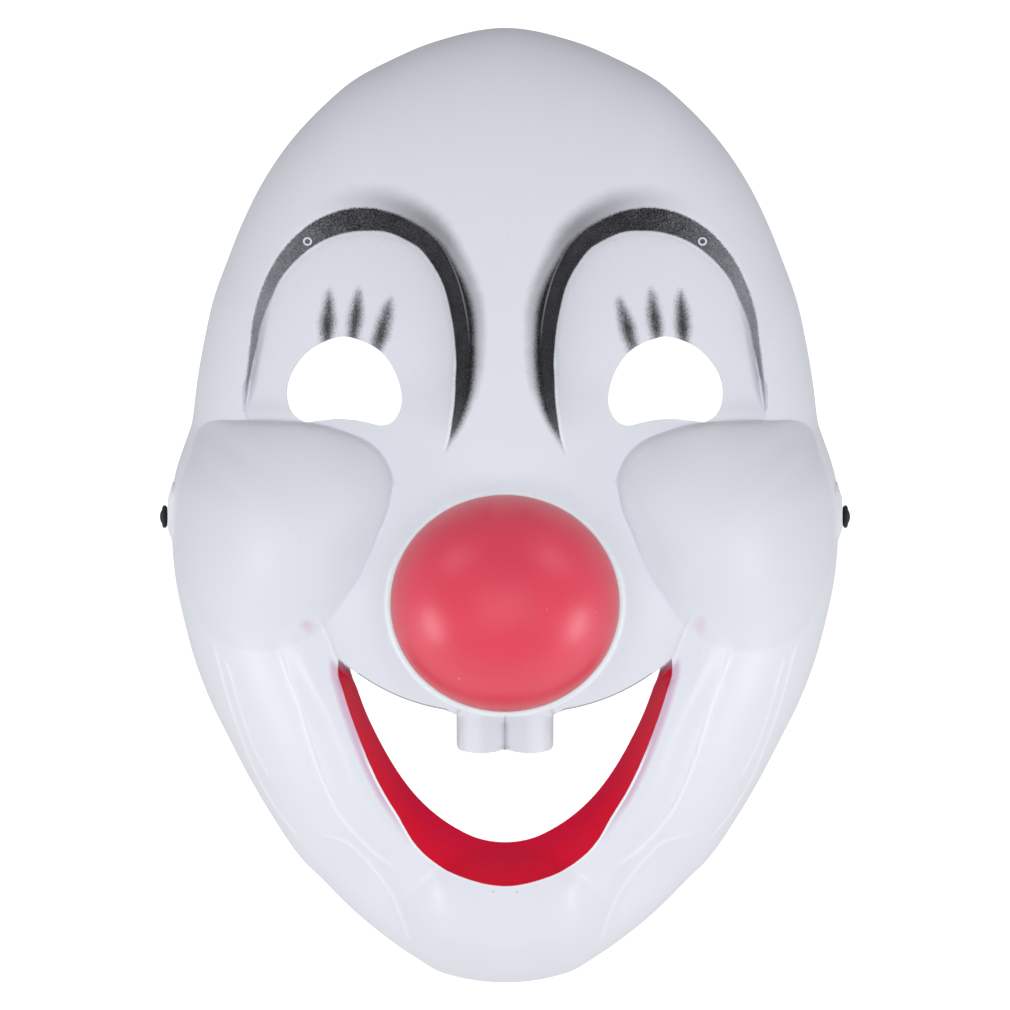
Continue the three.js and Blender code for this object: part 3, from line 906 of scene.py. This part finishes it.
# the moulding: half a sheet laid out round the nose, scribed along its edges, then raised and mirrored

collarTop = nose["seatDepth"] + nose["collarHeight"]
collarProfile = [
    (noseHole, nose["seatDepth"]),
    (collarInner - 0.05, nose["seatDepth"]),
    (collarInner, collarTop - nose["collarRound"]),
    (collarInner + nose["collarRound"], collarTop),
    (collarOuter - nose["collarRound"], collarTop),
    (collarOuter, collarTop - nose["collarRound"]),
    (collarOuter + 0.15, nose["seatDepth"] + 0.15),
    (collarOuter + 0.9, nose["seatDepth"]),
]


def ellipseReach(radius, turn):
    return radius / math.hypot(math.sin(turn), math.cos(turn) / noseFlat)


def layOutSheet(bm):
    collarRows = len(collarProfile) - 1
    rows = collarRows + shell["rows"]
    bmesh.ops.create_grid(bm, x_segments=shell["columns"], y_segments=rows, size=1)
    for vert in bm.verts:
        turn = math.pi * (vert.co.x + 1) / 2
        row = round((vert.co.y + 1) / 2 * rows)
        if row <= collarRows:
            reach = ellipseReach(collarProfile[row][0], turn)
        else:
            start = ellipseReach(collarProfile[-1][0], turn)
            left = (1 - (row - collarRows) / shell["rows"]) ** shell["rowCrowding"]
            reach = lerp(rimReachAt(turn), start, left)
        vert.co = (math.sin(turn) * reach, -nose["drop"] - math.cos(turn) * reach, 0)
        if row <= collarRows:
            vert.co.z = collarProfile[row][1]
        if turn < 1e-6 or turn > math.pi - 1e-6:
            vert.co.x = 0


def scribe(bm, field, where=None, snap=0.25):
    # puts edges of the sheet along the line where the field is nought
    values = {}
    for vert in bm.verts:
        if vert.co.z == 0 and (where is None or where(vert.co.x, vert.co.y)):
            values[vert] = field(vert.co.x, vert.co.y)
    near = {}
    for edge in bm.edges:
        a, b = edge.verts
        if a not in values or b not in values or values[a] * values[b] >= 0:
            continue
        share = values[a] / (values[a] - values[b])
        for vert, other, part in ((a, b, share), (b, a, 1 - share)):
            onSeam = vert.co.x == 0 and other.co.x != 0
            onRim = vert.is_boundary and not edge.is_boundary
            if part < snap and not onSeam and not onRim and part < near.get(vert, (1,))[0]:
                near[vert] = (part, vert.co.lerp(other.co, part))
    for vert, (part, place) in near.items():
        vert.co = place
        values[vert] = 0.0
    crossing = []
    for edge in bm.edges:
        a, b = edge.verts
        if a in values and b in values and values[a] * values[b] < 0:
            crossing.append((edge, a, values[a] / (values[a] - values[b])))
    for edge, vert, share in crossing:
        made = bmesh.utils.edge_split(edge, vert, share)[1]
        values[made] = 0.0
    online = [vert for vert, value in values.items() if value == 0.0]
    bmesh.ops.connect_verts(bm, verts=online)


def nearEye(x, y):
    return abs(x) < 85 and 13 < y < 85


def scribeSheet(bm):
    # each line is scribed only where its piece lies, since the fields cross nought elsewhere too
    scribe(bm, pastPadEdge, nearEye)
    scribe(bm, lambda x, y: pastPadEdge(x, y) + eye["padEdgeWidth"], nearEye)
    scribe(bm, pastLedge, nearEye)
    scribe(bm, pastEyeHole, nearEye)
    for inward in (0, 0.6, 1.8):
        scribe(bm, lambda x, y: pastCheek(x, y) + inward)
    scribe(bm, pastSurround, lambda x, y: y < -36)
    scribe(bm, pastLipRim, lambda x, y: y < -38)
    scribe(bm, pastLipCut, lambda x, y: y < -38)
    scribe(bm, overUpperLip, lambda x, y: -62 < y < -30 and abs(x) < 46)
    scribe(bm, pastTooth, lambda x, y: y < -44 and abs(x) < 20)
    for index, (sizes, way) in enumerate(ridges):
        half = sizes[1]
        low, high = way[0][0] - 1, way[-1][0] + 1
        for shift in (-1, -0.5, 0, 0.5, 1):
            scribe(
                bm,
                lambda x, y: pastRidge(index, x, y) - shift * half,
                lambda x, y: low < y < high and abs(pastRidge(index, x, y)) < 5 + half,
            )


def cutHoles(bm):
    gone = []
    for face in bm.faces:
        middle = face.calc_center_median()
        if middle.z > 0:
            continue
        if pastEyeHole(middle.x, middle.y) < 0 or inMouth(middle.x, middle.y):
            gone.append(face)
    bmesh.ops.delete(bm, geom=gone, context="FACES")


def cutStrapHole(bm):
    # the hole in the side wall behind the pad
    def inHole(place):
        away = math.hypot(place.y + elastic["holeDrop"], place.z - elastic["holeHeight"])
        return place.x > 60 and away < shell["strapCut"]

    gone = [face for face in bm.faces if inHole(face.calc_center_median())]
    bmesh.ops.delete(bm, geom=gone, context="FACES")


def raiseSheet(bm):
    for vert in bm.verts:
        if vert.co.z == 0:
            vert.co.z = frontHeight(vert.co.x, vert.co.y)


def thicken(bm, wall):
    # gives the sheet its wall on the inner side and returns the inner faces
    front = set(bm.verts)
    bmesh.ops.solidify(bm, geom=bm.faces[:], thickness=wall)
    inner = [vert for vert in bm.verts if vert not in front]
    loose = [vert for vert in inner if all(edge.other_vert(vert) not in front for edge in vert.link_edges)]
    for turn in range(2):
        bmesh.ops.smooth_vert(
            bm, verts=loose, factor=0.5, use_axis_x=True, use_axis_y=True, use_axis_z=True
        )
    for vert in inner:
        above = [edge.other_vert(vert) for edge in vert.link_edges if edge.other_vert(vert) in front]
        if above and vert.co.z > 2:
            vert.co.xy = vert.co.xy.lerp(above[0].co.xy, shell["holeLean"])
        vert.co.z = max(0.0, vert.co.z)
    return [face for face in bm.faces if not all(vert in front for vert in face.verts)]


# paint: each vertex keeps how far it lies from the edges of the paint, in millimetres

lashes = [
    # base and tip of each lash on one side, and its greatest half width
    ((43.9, 39.6), (43.2, 53.0), 2.1),
    ((37.4, 40.6), (35.9, 53.2), 2.0),
    ((31.4, 38.4), (28.0, 51.0), 2.1),
]
marks = [
    # small dark dots painted on the chin: place and radius
    (0.55, -113.0, 0.32),
    (1.9, -95.6, 0.22),
    (3.0, -94.8, 0.2),
    (0.4, -96.9, 0.18),
]
blush = (48.1, -29.5, 2.0)  # stray pink paint under the cheek: place and radius
paintTones = {
    # as they look on screen; pairs are mixed by a noise
    "white": ((228, 230, 240), (233, 235, 245)),
    # painted light on the lower face
    "paintedLowerLight": (241, 244, 252),
    # painted shade on the cheek
    "cheek": (168, 165, 171),
    # painted highlights
    "paintedHighlight": (245, 249, 255),
    "black": ((10, 9, 14), (24, 23, 29)),
    # the first red, used nearer the cut edge, is darker: painted shade
    "red": ((208, 0, 52), (219, 0, 46)),
    "spray": (186, 66, 150),
    "corner": (112, 40, 84),
    "blush": (205, 96, 150),
    # painted shadow under the muzzle's cut edge
    "cutShadow": (90, 86, 96),
    # painted shade on the teeth
    "toothShadow": (120, 110, 122),
}
paintLimits = {
    # between which two heights on the face a paint comes in, in millimetres from its middle
    "brow": (11.5, 14.5),
    # painted highlight along the brow's crease comes in between these heights
    "crease": (36, 52),
    "corner": (-46, -42),
    "spray": (-86, -70),
    # painted highlights on the pad's edge and on the lip's rim run out between the next four pairs
    "padLine": (22, 26),
    "padLineByNose": (12, 16),
    "lipLineLow": (-100, -80),
    "lipLineHigh": (-56, -66),
    # painted shade on the teeth lies between the next two heights
    "toothTop": (-51.2, -52.2),
    "toothTip": (-64, -63.5),
    # painted shade on the cheek grows between these heights
    "cheek": (-6, 18),
    # painted light on the lower face comes in between these heights
    "paintedLowerLight": (5, -45),
    "glossy": (-28, -42),
}


def lashPaint(x, y):
    best = -10.0
    for base, tip, width in lashes:
        start = Vector(base)
        along = Vector(tip) - start
        t = clamp((Vector((abs(x), y)) - start).dot(along) / along.length_squared)
        middle = start + along * t
        taper = (1 - t * t) ** 0.6 * (0.66 + 0.34 * ramp(t, 0, 0.4))
        best = max(best, width * taper - (Vector((abs(x), y)) - middle).length)
    return best


def pastMarks(x, y):
    return min(math.hypot(abs(x) - across, y - up) - radius for across, up, radius in marks)


def paintFields(x, y):
    angle = around(x, y, eye["spacing"], eye["rise"])[1]
    mouthFar, mouthAngle = roundMouth(x, y)
    inner = mouth["lipReach"] * lipInnerAt(mouthAngle)
    outer = mouth["lipReach"] * lipOuterAt(mouthAngle)
    return {
        "padSide": pastPad(x, y),
        "browSide": -pastBrowPaint(x, y),
        "creaseSide": pastLedge(x, y),
        "browDepth": browDepthAt(angle),
        "nasal": ramp((angle + 120) % 360, 205, 150),
        "haze": max(0.0, hazeDepthAt(angle)),
        "hazeReach": hazeReachAt(angle),
        "lash": lashPaint(x, y),
        "mark": pastMarks(x, y),
        "cheekSide": pastCheek(x, y),
        "collarSide": fromNose(x, y) - collarOuter,
        "blush": blush[2] - math.hypot(abs(x) - blush[0], y - blush[1]),
        "crest": max([share * (rise / fullRidge) ** 2 for rise, share in ridgeShares(x, y)], default=0.0),
        "lipSide": outer - mouthFar,
        "lipShare": clamp((mouthFar - inner) / (outer - inner), -1, 2),
        "lipTop": min(-overUpperLip(x, y), pastTooth(x, y) + 0.5),
        "muzzleCut": max(abs(overUpperLip(x, y)), 14 - abs(x), abs(x) - 36),
    }


def storePaint(bm):
    layers = {name: bm.verts.layers.float.new(name) for name in paintFields(10, 10)}
    for vert in bm.verts:
        for name, value in paintFields(vert.co.x, vert.co.y).items():
            vert[layers[name]] = value


def makeShellMaterial():
    material, wires, shader, place = newMaterial("painted_moulding")

    def field(name):
        return wires.node("ShaderNodeAttribute", {"attribute_name": name}, out=2)

    def tone(name, share=None):
        if share is None:
            return colour(*paintTones[name])
        return share.mix(*(colour(*one) for one in paintTones[name]))

    grain = noiseOf(wires, place, 2700.0, 2.0, 0.7) - 0.5
    cloud = noiseOf(wires, place, 260.0, 3.0) - 0.5
    broad = noiseOf(wires, place, 18.0, 2.0) - 0.5
    across = axisOf(wires, place, 0).math("ABSOLUTE")
    up = axisOf(wires, place, 1)

    def upFrom(name):
        return up.step(*(height * mm for height in paintLimits[name]))

    # brow: a sprayed band, dense by the nose and speckled towards the temple, with haze outside it
    nasal = field("nasal")
    edge = (field("browSide") + grain * 1.1 + cloud * 0.3) / (nasal + 0.35)
    inner = (field("padSide") + grain * 0.25).step(-0.1, 0.35)
    band = edge.step(-0.9, 0.75) * inner * upFrom("brow")
    speckle = (grain * 2.4 + cloud * 0.7) * (1 - nasal * 0.6)
    # painted highlight: the brow paint is lighter along the crease by the nose, where the crease catches
    # the light
    crease = field("creaseSide").math("ABSOLUTE").step(0.3, 0.08) * upFrom("crease") * nasal
    brow = band * (field("browDepth") + speckle * 0.24) * (1 - crease * 0.34)
    hazeEdge = (field("browSide") + cloud * 1.2 + grain * 0.8) / field("hazeReach")
    haze = hazeEdge.step(-1.05, -0.25) * field("padSide").step(0.0, 1.0) * field("haze")
    lashMask = (field("lash") + grain * 2.4 + cloud * 1.1).step(-1.2, 1.8) * 0.94
    mark = field("mark").step(0.25, -0.1) * 0.55
    specks = noiseOf(wires, place, 1100.0, 1.0).step(0.74, 0.79) * 0.1

    # lips: red with purple spray past their rim, and a dark corner where the red runs out
    lipTop = (field("lipTop") + grain * 1.5).step(0.9, 3.0)
    lip = (field("lipSide") + cloud * 0.25).step(-0.12, 0.12)
    red = lip * lipTop
    corner = lip * (field("lipTop") + grain * 1.2).step(-0.4, 0.6) * upFrom("corner") * 0.75
    spray = (field("lipSide") + grain * 0.9).step(-2.6, -1.0) * upFrom("spray") * lipTop * 0.42
    pink = (field("blush") + cloud * 5 + grain * 1.5).step(-0.6, 2.2) * 0.26
    # painted shadow: a thin dark line under the muzzle's cut edge beside the teeth
    cutEdgeShadow = field("muzzleCut").step(0.5, 0.2) * 0.6

    # painted highlights: thin bright lines on the pad's edge, the lip's rim, the nose's collar and the
    # ridges
    lineEnd = upFrom("padLineByNose") * nasal.largest(upFrom("padLine"))
    padLine = field("padSide").step(-0.95, -0.45) * field("padSide").step(0.15, -0.1) * lineEnd * 0.85
    lipEnds = lipTop * upFrom("lipLineLow") * upFrom("lipLineHigh")
    lipLine = field("lipSide").step(-0.8, -0.45) * lipEnds
    collar = field("collarSide").step(0.8, 0.2)
    paintedHighlight = padLine.largest(lipLine).largest(collar).largest(field("crest").step(0.2, 0.95) * 0.7)

    # painted shade: the teeth are darker where they turn back and where they meet
    teeth = across.step(0.0122, 0.0119) * upFrom("toothTop") * upFrom("toothTip")
    toothSide = across.step(0.0088, 0.0115) * 0.3 + across.step(0.0075, 0.0045) * 0.12
    toothShade = teeth * toothSide.largest(across.step(0.0004, 0.0001) * 0.4)
    # painted shade: the cheek is greyer inside its edge and darker towards its top
    cheekShade = field("cheekSide").step(0.5, -0.7) * (upFrom("cheek") * 0.18 + 0.07)

    black = tone("black", cloud + 0.5)
    paint = tone("white", broad + 0.5)
    # painted light: the face is painted whiter from the nose down towards the chin, where more light falls
    paint = (upFrom("paintedLowerLight") * 0.15).mix(paint, tone("paintedLowerLight"))
    paint = cheekShade.mix(paint, tone("cheek"))
    paint = spray.mix(paint, tone("spray"))
    paint = pink.mix(paint, tone("blush"))
    paint = paintedHighlight.mix(paint, tone("paintedHighlight"))
    paint = cutEdgeShadow.mix(paint, tone("cutShadow"))
    paint = corner.mix(paint, tone("corner"))
    # the red is darker towards the cut edge, where the lip sinks deepest: painted shade, broken up by a
    # noise
    paint = red.mix(paint, tone("red", (field("lipShare") + cloud * 0.5).step(0.2, 0.8)))
    paint = toothShade.mix(paint, tone("toothShadow"))
    paint = (haze + lashMask + mark + specks).smallest(1.0).mix(paint, black)
    paint = brow.smallest(1.0).largest(0.0).mix(paint, black)

    painted = red.largest(brow)
    glossy = upFrom("glossy")  # the jaw shines more than the cheeks and forehead
    rough = 0.42 - glossy * 0.12 + cloud * 0.03 + painted * 0.18
    skin = noiseOf(wires, place, 60.0, 2.0)
    relief = skin * 0.8 + grain * painted * 0.25
    feed(
        wires,
        shader,
        Base_Color=paint,
        Roughness=rough,
        IOR=1.5,
        Specular_IOR_Level=0.25,
        Normal=bumpOf(wires, relief, 0.08, 0.002),
    )
    return material


def makeInsideMaterial():
    material, wires, shader, place = newMaterial("bare_inside")
    cloud = noiseOf(wires, place, 90.0, 4.0)
    fine = noiseOf(wires, place, 1400.0, 2.0)
    feed(
        wires,
        shader,
        Base_Color=cloud.step(0.3, 0.7).mix(colour(222, 224, 231), colour(233, 234, 239)),
        Roughness=0.42 + fine * 0.15,
        Normal=bumpOf(wires, fine, 0.15, 0.0004),
    )
    return material


shellMaterial = makeShellMaterial()
insideMaterial = makeInsideMaterial()


def sharpen(bm):
    # edges that stay crisp: the foot of the cheek, the eyelid pad's edge and the rim of the lip
    onLine = 0.03
    marked = {}
    for vert in bm.verts:
        x, y = vert.co.xy
        angle = around(x, y, cheek["spacing"], -cheek["drop"])[1]
        marked[vert] = (
            cheekCrispAt(angle) > 0.6 and abs(pastCheek(x, y)) < onLine,
            y > eye["rise"] and abs(pastPadEdge(x, y)) < onLine,
            y < -mouth["drop"] and abs(pastLipRim(x, y)) < onLine,
        )
    for edge in bm.edges:
        a, b = edge.verts
        if any(one and other for one, other in zip(marked[a], marked[b])):
            edge.smooth = False


def makeShell():
    bm = bmesh.new()
    layOutSheet(bm)
    scribeSheet(bm)
    cutHoles(bm)
    raiseSheet(bm)
    cutStrapHole(bm)
    bmesh.ops.mirror(bm, geom=bm.verts[:] + bm.edges[:] + bm.faces[:], merge_dist=0.0005, axis="X")
    bmesh.ops.recalc_face_normals(bm, faces=bm.faces)
    if sum(face.normal.z * face.calc_area() for face in bm.faces) < 0:
        bmesh.ops.reverse_faces(bm, faces=bm.faces)
    bigFaces = [face for face in bm.faces if len(face.verts) > 4]
    bmesh.ops.triangulate(bm, faces=bigFaces)
    print("sheet", len(bm.verts), "vertices", len(bm.faces), "faces")
    storePaint(bm)
    innerFaces = thicken(bm, shell["wall"])
    for face in innerFaces:
        face.material_index = 1
    for edge in bm.edges:
        kinds = {face.material_index for face in edge.link_faces}
        edge.smooth = len(kinds) == 1
    sharpen(bm)
    print("moulding", len(bm.verts), "vertices", len(bm.faces), "faces")
    piece = addPiece("moulding", bm, shellMaterial, insideMaterial)
    weighted = piece.modifiers.new("even_shading", "WEIGHTED_NORMAL")
    weighted.keep_sharp = True
    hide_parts("mask_shell")


makeShell()


# side pads with the strap holes, and the small mould rings

sidePad = {
    "length": 16,
    "height": 12,
    "corner": 4,
    "lowCorner": 0.3,
    "shift": 0.8,  # of its middle from the hole
    "hole": 3.2,
    "bevel": 0.25,
    "flat": 6,
    "runOut": 1.1,  # its two ends run out into the side wall
}


def makeSidePad(side):
    # a flat plate with round upper corners and a round hole, standing on the side wall
    bm = bmesh.new()
    depth = shell["wall"] + 2 * shell["padProud"]
    sides = 48
    bmesh.ops.create_circle(bm, segments=sides, radius=sidePad["hole"] / 2)
    outline = bmesh.ops.create_circle(bm, segments=sides, radius=1)["verts"]
    middle = Vector((sidePad["shift"], sidePad["height"] / 2 - elastic["holeHeight"], 0))
    for vert in outline:
        # pushed out from the circle to the rounded plate's edge
        way = vert.co.normalized()
        reach = 0.0
        while reach < 20:
            point = way * (reach + 0.05) - middle
            corner = sidePad["corner" if point.y > 0 else "lowCorner"]
            across = max(0.0, abs(point.x) - sidePad["length"] / 2 + corner)
            up = max(0.0, abs(point.y) - sidePad["height"] / 2 + corner)
            if math.hypot(across, up) > corner:
                break
            reach += 0.05
        vert.co = way * reach
    bmesh.ops.bridge_loops(bm, edges=bm.edges[:])
    raised = bmesh.ops.extrude_face_region(bm, geom=bm.faces[:])
    top = [item for item in raised["geom"] if isinstance(item, bmesh.types.BMVert)]
    bmesh.ops.translate(bm, vec=(0, 0, depth), verts=top)
    bmesh.ops.recalc_face_normals(bm, faces=bm.faces)
    sharp = [edge for edge in bm.edges if edge.calc_face_angle(0) > 1 and edge.verts[0].co.z > depth / 2]
    bmesh.ops.bevel(
        bm,
        geom=sharp,
        offset=sidePad["bevel"],
        segments=3,
        profile=0.5,
        affect="EDGES",
        material=-1,
    )
    # the plate's length lies along the face, its front looks sideways
    turn = Matrix(((0, 0, 1, 0), (1, 0, 0, 0), (0, 1, 0, 0), (0, 0, 0, 1)))
    place = Matrix.Translation((sideFace - depth, -elastic["holeDrop"], elastic["holeHeight"]))
    bmesh.ops.transform(bm, matrix=place @ turn, verts=bm.verts)
    if side < 0:
        bmesh.ops.scale(bm, vec=(-1, 1, 1), verts=bm.verts)
    for vert in bm.verts:
        along = abs(vert.co.y + elastic["holeDrop"] - sidePad["shift"])
        vert.co.x -= side * sidePad["runOut"] * ramp(along, sidePad["flat"] / 2, sidePad["length"] / 2)
        vert.co.z = max(0.0, vert.co.z)
    bmesh.ops.recalc_face_normals(bm, faces=bm.faces)
    piece = addPiece(sided("side_pad", side), bm, insideMaterial, smooth=False)
    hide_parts("mask_shell")


mouldRing = {
    "across": 48.8,
    "up": 65.2,
    "radius": 0.9,
    "thickness": 0.5,
    "proud": 0.1,
}


def makeMouldRing(side):
    # small round mark that stands up through the paint of the brow
    bm = bmesh.new()
    x, y = side * mouldRing["across"], mouldRing["up"]
    height = frontHeight(x, y)
    facing = Vector((height - frontHeight(x + 1, y), height - frontHeight(x, y + 1), 1)).normalized()
    stand = Matrix.Translation(Vector((x, y, height)) + facing * mouldRing["proud"])
    tilt = facing.to_track_quat("Z", "Y").to_matrix().to_4x4()
    addStrand(bm, mouldRing["radius"], mouldRing["thickness"] / 2, 1, stand @ tilt)
    bmesh.ops.recalc_face_normals(bm, faces=bm.faces)
    piece = addPiece(sided("mould_ring", side), bm, insideMaterial)
    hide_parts("mask_shell")


for side in (-1, 1):
    makeSidePad(side)
for side in (-1, 1):
    makeMouldRing(side)
print("side pads and mould rings made")


# nose: a hollow ball with a round foot in the collar

def makeNoseMaterial():
    material, wires, shader, place = newMaterial("red_ball_plastic")
    broad = noiseOf(wires, place, 35.0, 2.0)
    fine = noiseOf(wires, place, 1500.0, 3.0)
    specks = noiseOf(wires, place, 700.0, 1.0)
    tone = broad.step(0.35, 0.65).mix(colour(229, 62, 88), colour(235, 68, 94))
    tone = specks.step(0.79, 0.82).mix(tone, colour(232, 120, 128))
    # painted shade: the ball is a darker, deeper red towards its foot, against the grey reflected at its
    # rim
    low = axisOf(wires, place, 2).step(0.077, 0.063)
    tone = (low * 0.9).mix(tone, colour(218, 14, 46))
    feed(
        wires,
        shader,
        Base_Color=tone,
        Roughness=0.32 + fine * 0.08,
        IOR=1.5,
        Specular_IOR_Level=0.7,
        Normal=bumpOf(wires, fine, 0.12, 0.0003),
    )
    return material


def quarter(steps):
    return [i / steps * math.pi / 2 for i in range(steps + 1)]


def makeNose():
    bm = bmesh.new()
    base = nose["seatDepth"] + nose["glueGap"]
    centre = nose["seatDepth"] + nose["foot"]
    inner = noseRadius - nose["wall"]
    turns = quarter(nose["arcSteps"])
    outerArc = [(noseRadius * math.cos(a), centre + noseRadius * math.sin(a)) for a in turns]
    innerArc = [(inner * math.cos(a), centre + inner * math.sin(a)) for a in reversed(turns)]
    edge = nose["footRound"]
    foot = noseRadius - nose["footInset"]
    profile = [(inner, base + edge), (inner + edge, base), (foot - edge, base), (foot, base + edge)]
    profile += [(foot, base + nose["collarHeight"]), (noseRadius - 0.08, centre - 2)]
    profile += outerArc + innerArc + [profile[0]]
    verts = [bm.verts.new((x, 0, z)) for x, z in profile]
    for a, b in zip(verts, verts[1:]):
        bm.edges.new((a, b))
    spinRound(bm, bm.verts[:] + bm.edges[:], nose["turnSteps"])
    bmesh.ops.remove_doubles(bm, verts=bm.verts, dist=0.002)
    bmesh.ops.recalc_face_normals(bm, faces=bm.faces)
    bmesh.ops.scale(bm, vec=(1, noseFlat, 1), verts=bm.verts)
    bmesh.ops.translate(bm, vec=(0, -nose["drop"], 0), verts=bm.verts)
    piece = addPiece("ball_nose", bm, makeNoseMaterial())
    # its red would tint the white round it more than it does in the photograph
    piece.visible_diffuse = False
    piece.visible_glossy = False
    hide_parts("red_nose")


makeNose()
print("nose made")


# floor and light

studio = {
    "floorSize": 8.0,
    "floorDrop": 0.0004,
    "floorGlow": 0.93,
    # brightness of the world behind the forehead, low behind the chin and high over it
    "world": (0.34, 0.85, 0.33),
    "lights": [
        # place in metres, width, height, power, whether it shows as a reflection
        ("left", (-1.25, -0.45, 0.24), 0.55, 0.4, 3.6, True),
        ("right", (1.25, -0.45, 0.24), 0.55, 0.4, 3.6, True),
        ("chinward", (0, -1.3, 0.35), 2.0, 0.5, 1.0, False),
        ("leftHigh", (-0.9, 0.9, 0.5), 0.6, 0.5, 1.2, True),
        ("rightHigh", (0.9, 0.9, 0.5), 0.6, 0.5, 1.2, True),
        ("above", (0, -0.1, 1.7), 1.6, 1.4, 16, False),
    ],
    "aim": (0, -0.02, 0.04),
}


def makeFloor():
    bm = bmesh.new()
    bmesh.ops.create_grid(bm, x_segments=1, y_segments=1, size=studio["floorSize"] / 2)
    bmesh.ops.translate(bm, vec=(0, 0, -studio["floorDrop"]), verts=bm.verts)
    mesh = bpy.data.meshes.new("floor")
    bm.to_mesh(mesh)
    bm.free()
    material, wires, shader = newMaterial("pale_floor")[:3]
    feed(
        wires,
        shader,
        Base_Color=(0.5, 0.5, 0.5, 1),
        Roughness=1.0,
        Emission_Color=(1, 1, 1, 1),
        Emission_Strength=studio["floorGlow"],
        Specular_IOR_Level=0,
    )
    mesh.materials.append(material)
    floor = bpy.data.objects.new("floor", mesh)
    floor.visible_diffuse = False
    floor.visible_glossy = False
    scene.collection.objects.link(floor)
    floor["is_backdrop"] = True


def makeLights():
    aim = Vector(studio["aim"])
    for name, place, width, height, power, reflected in studio["lights"]:
        data = bpy.data.lights.new(name, "AREA")
        data.shape = "RECTANGLE"
        data.size = width
        data.size_y = height
        data.energy = power
        light = bpy.data.objects.new(name, data)
        light.location = place
        light.rotation_euler = (aim - Vector(place)).to_track_quat("-Z", "Y").to_euler()
        light.visible_camera = False
        light.visible_glossy = reflected
        scene.collection.objects.link(light)


def makeWorld():
    world = bpy.data.worlds.new("studio")
    world.use_nodes = True
    wires = Wire(world.node_tree)
    place = wires.node("ShaderNodeTexCoord", out=0)
    along, height = axisOf(wires, place, 1), axisOf(wires, place, 2)
    forehead, chinLow, chinHigh = ((tone, tone, tone, 1) for tone in studio["world"])
    tone = along.step(0.6, -0.6).mix(forehead, height.step(0.0, 0.6).mix(chinLow, chinHigh))
    background = world.node_tree.nodes["Background"]
    world.node_tree.links.new(tone.socket, background.inputs["Color"])
    scene.world = world


makeFloor()
makeLights()
makeWorld()
scene.view_settings.view_transform = "Standard"
print("stage made")

sizes = {"cad": cadBox, "visual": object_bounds()}
{name: [[float(v) for v in corner] for corner in box] for name, box in sizes.items()}
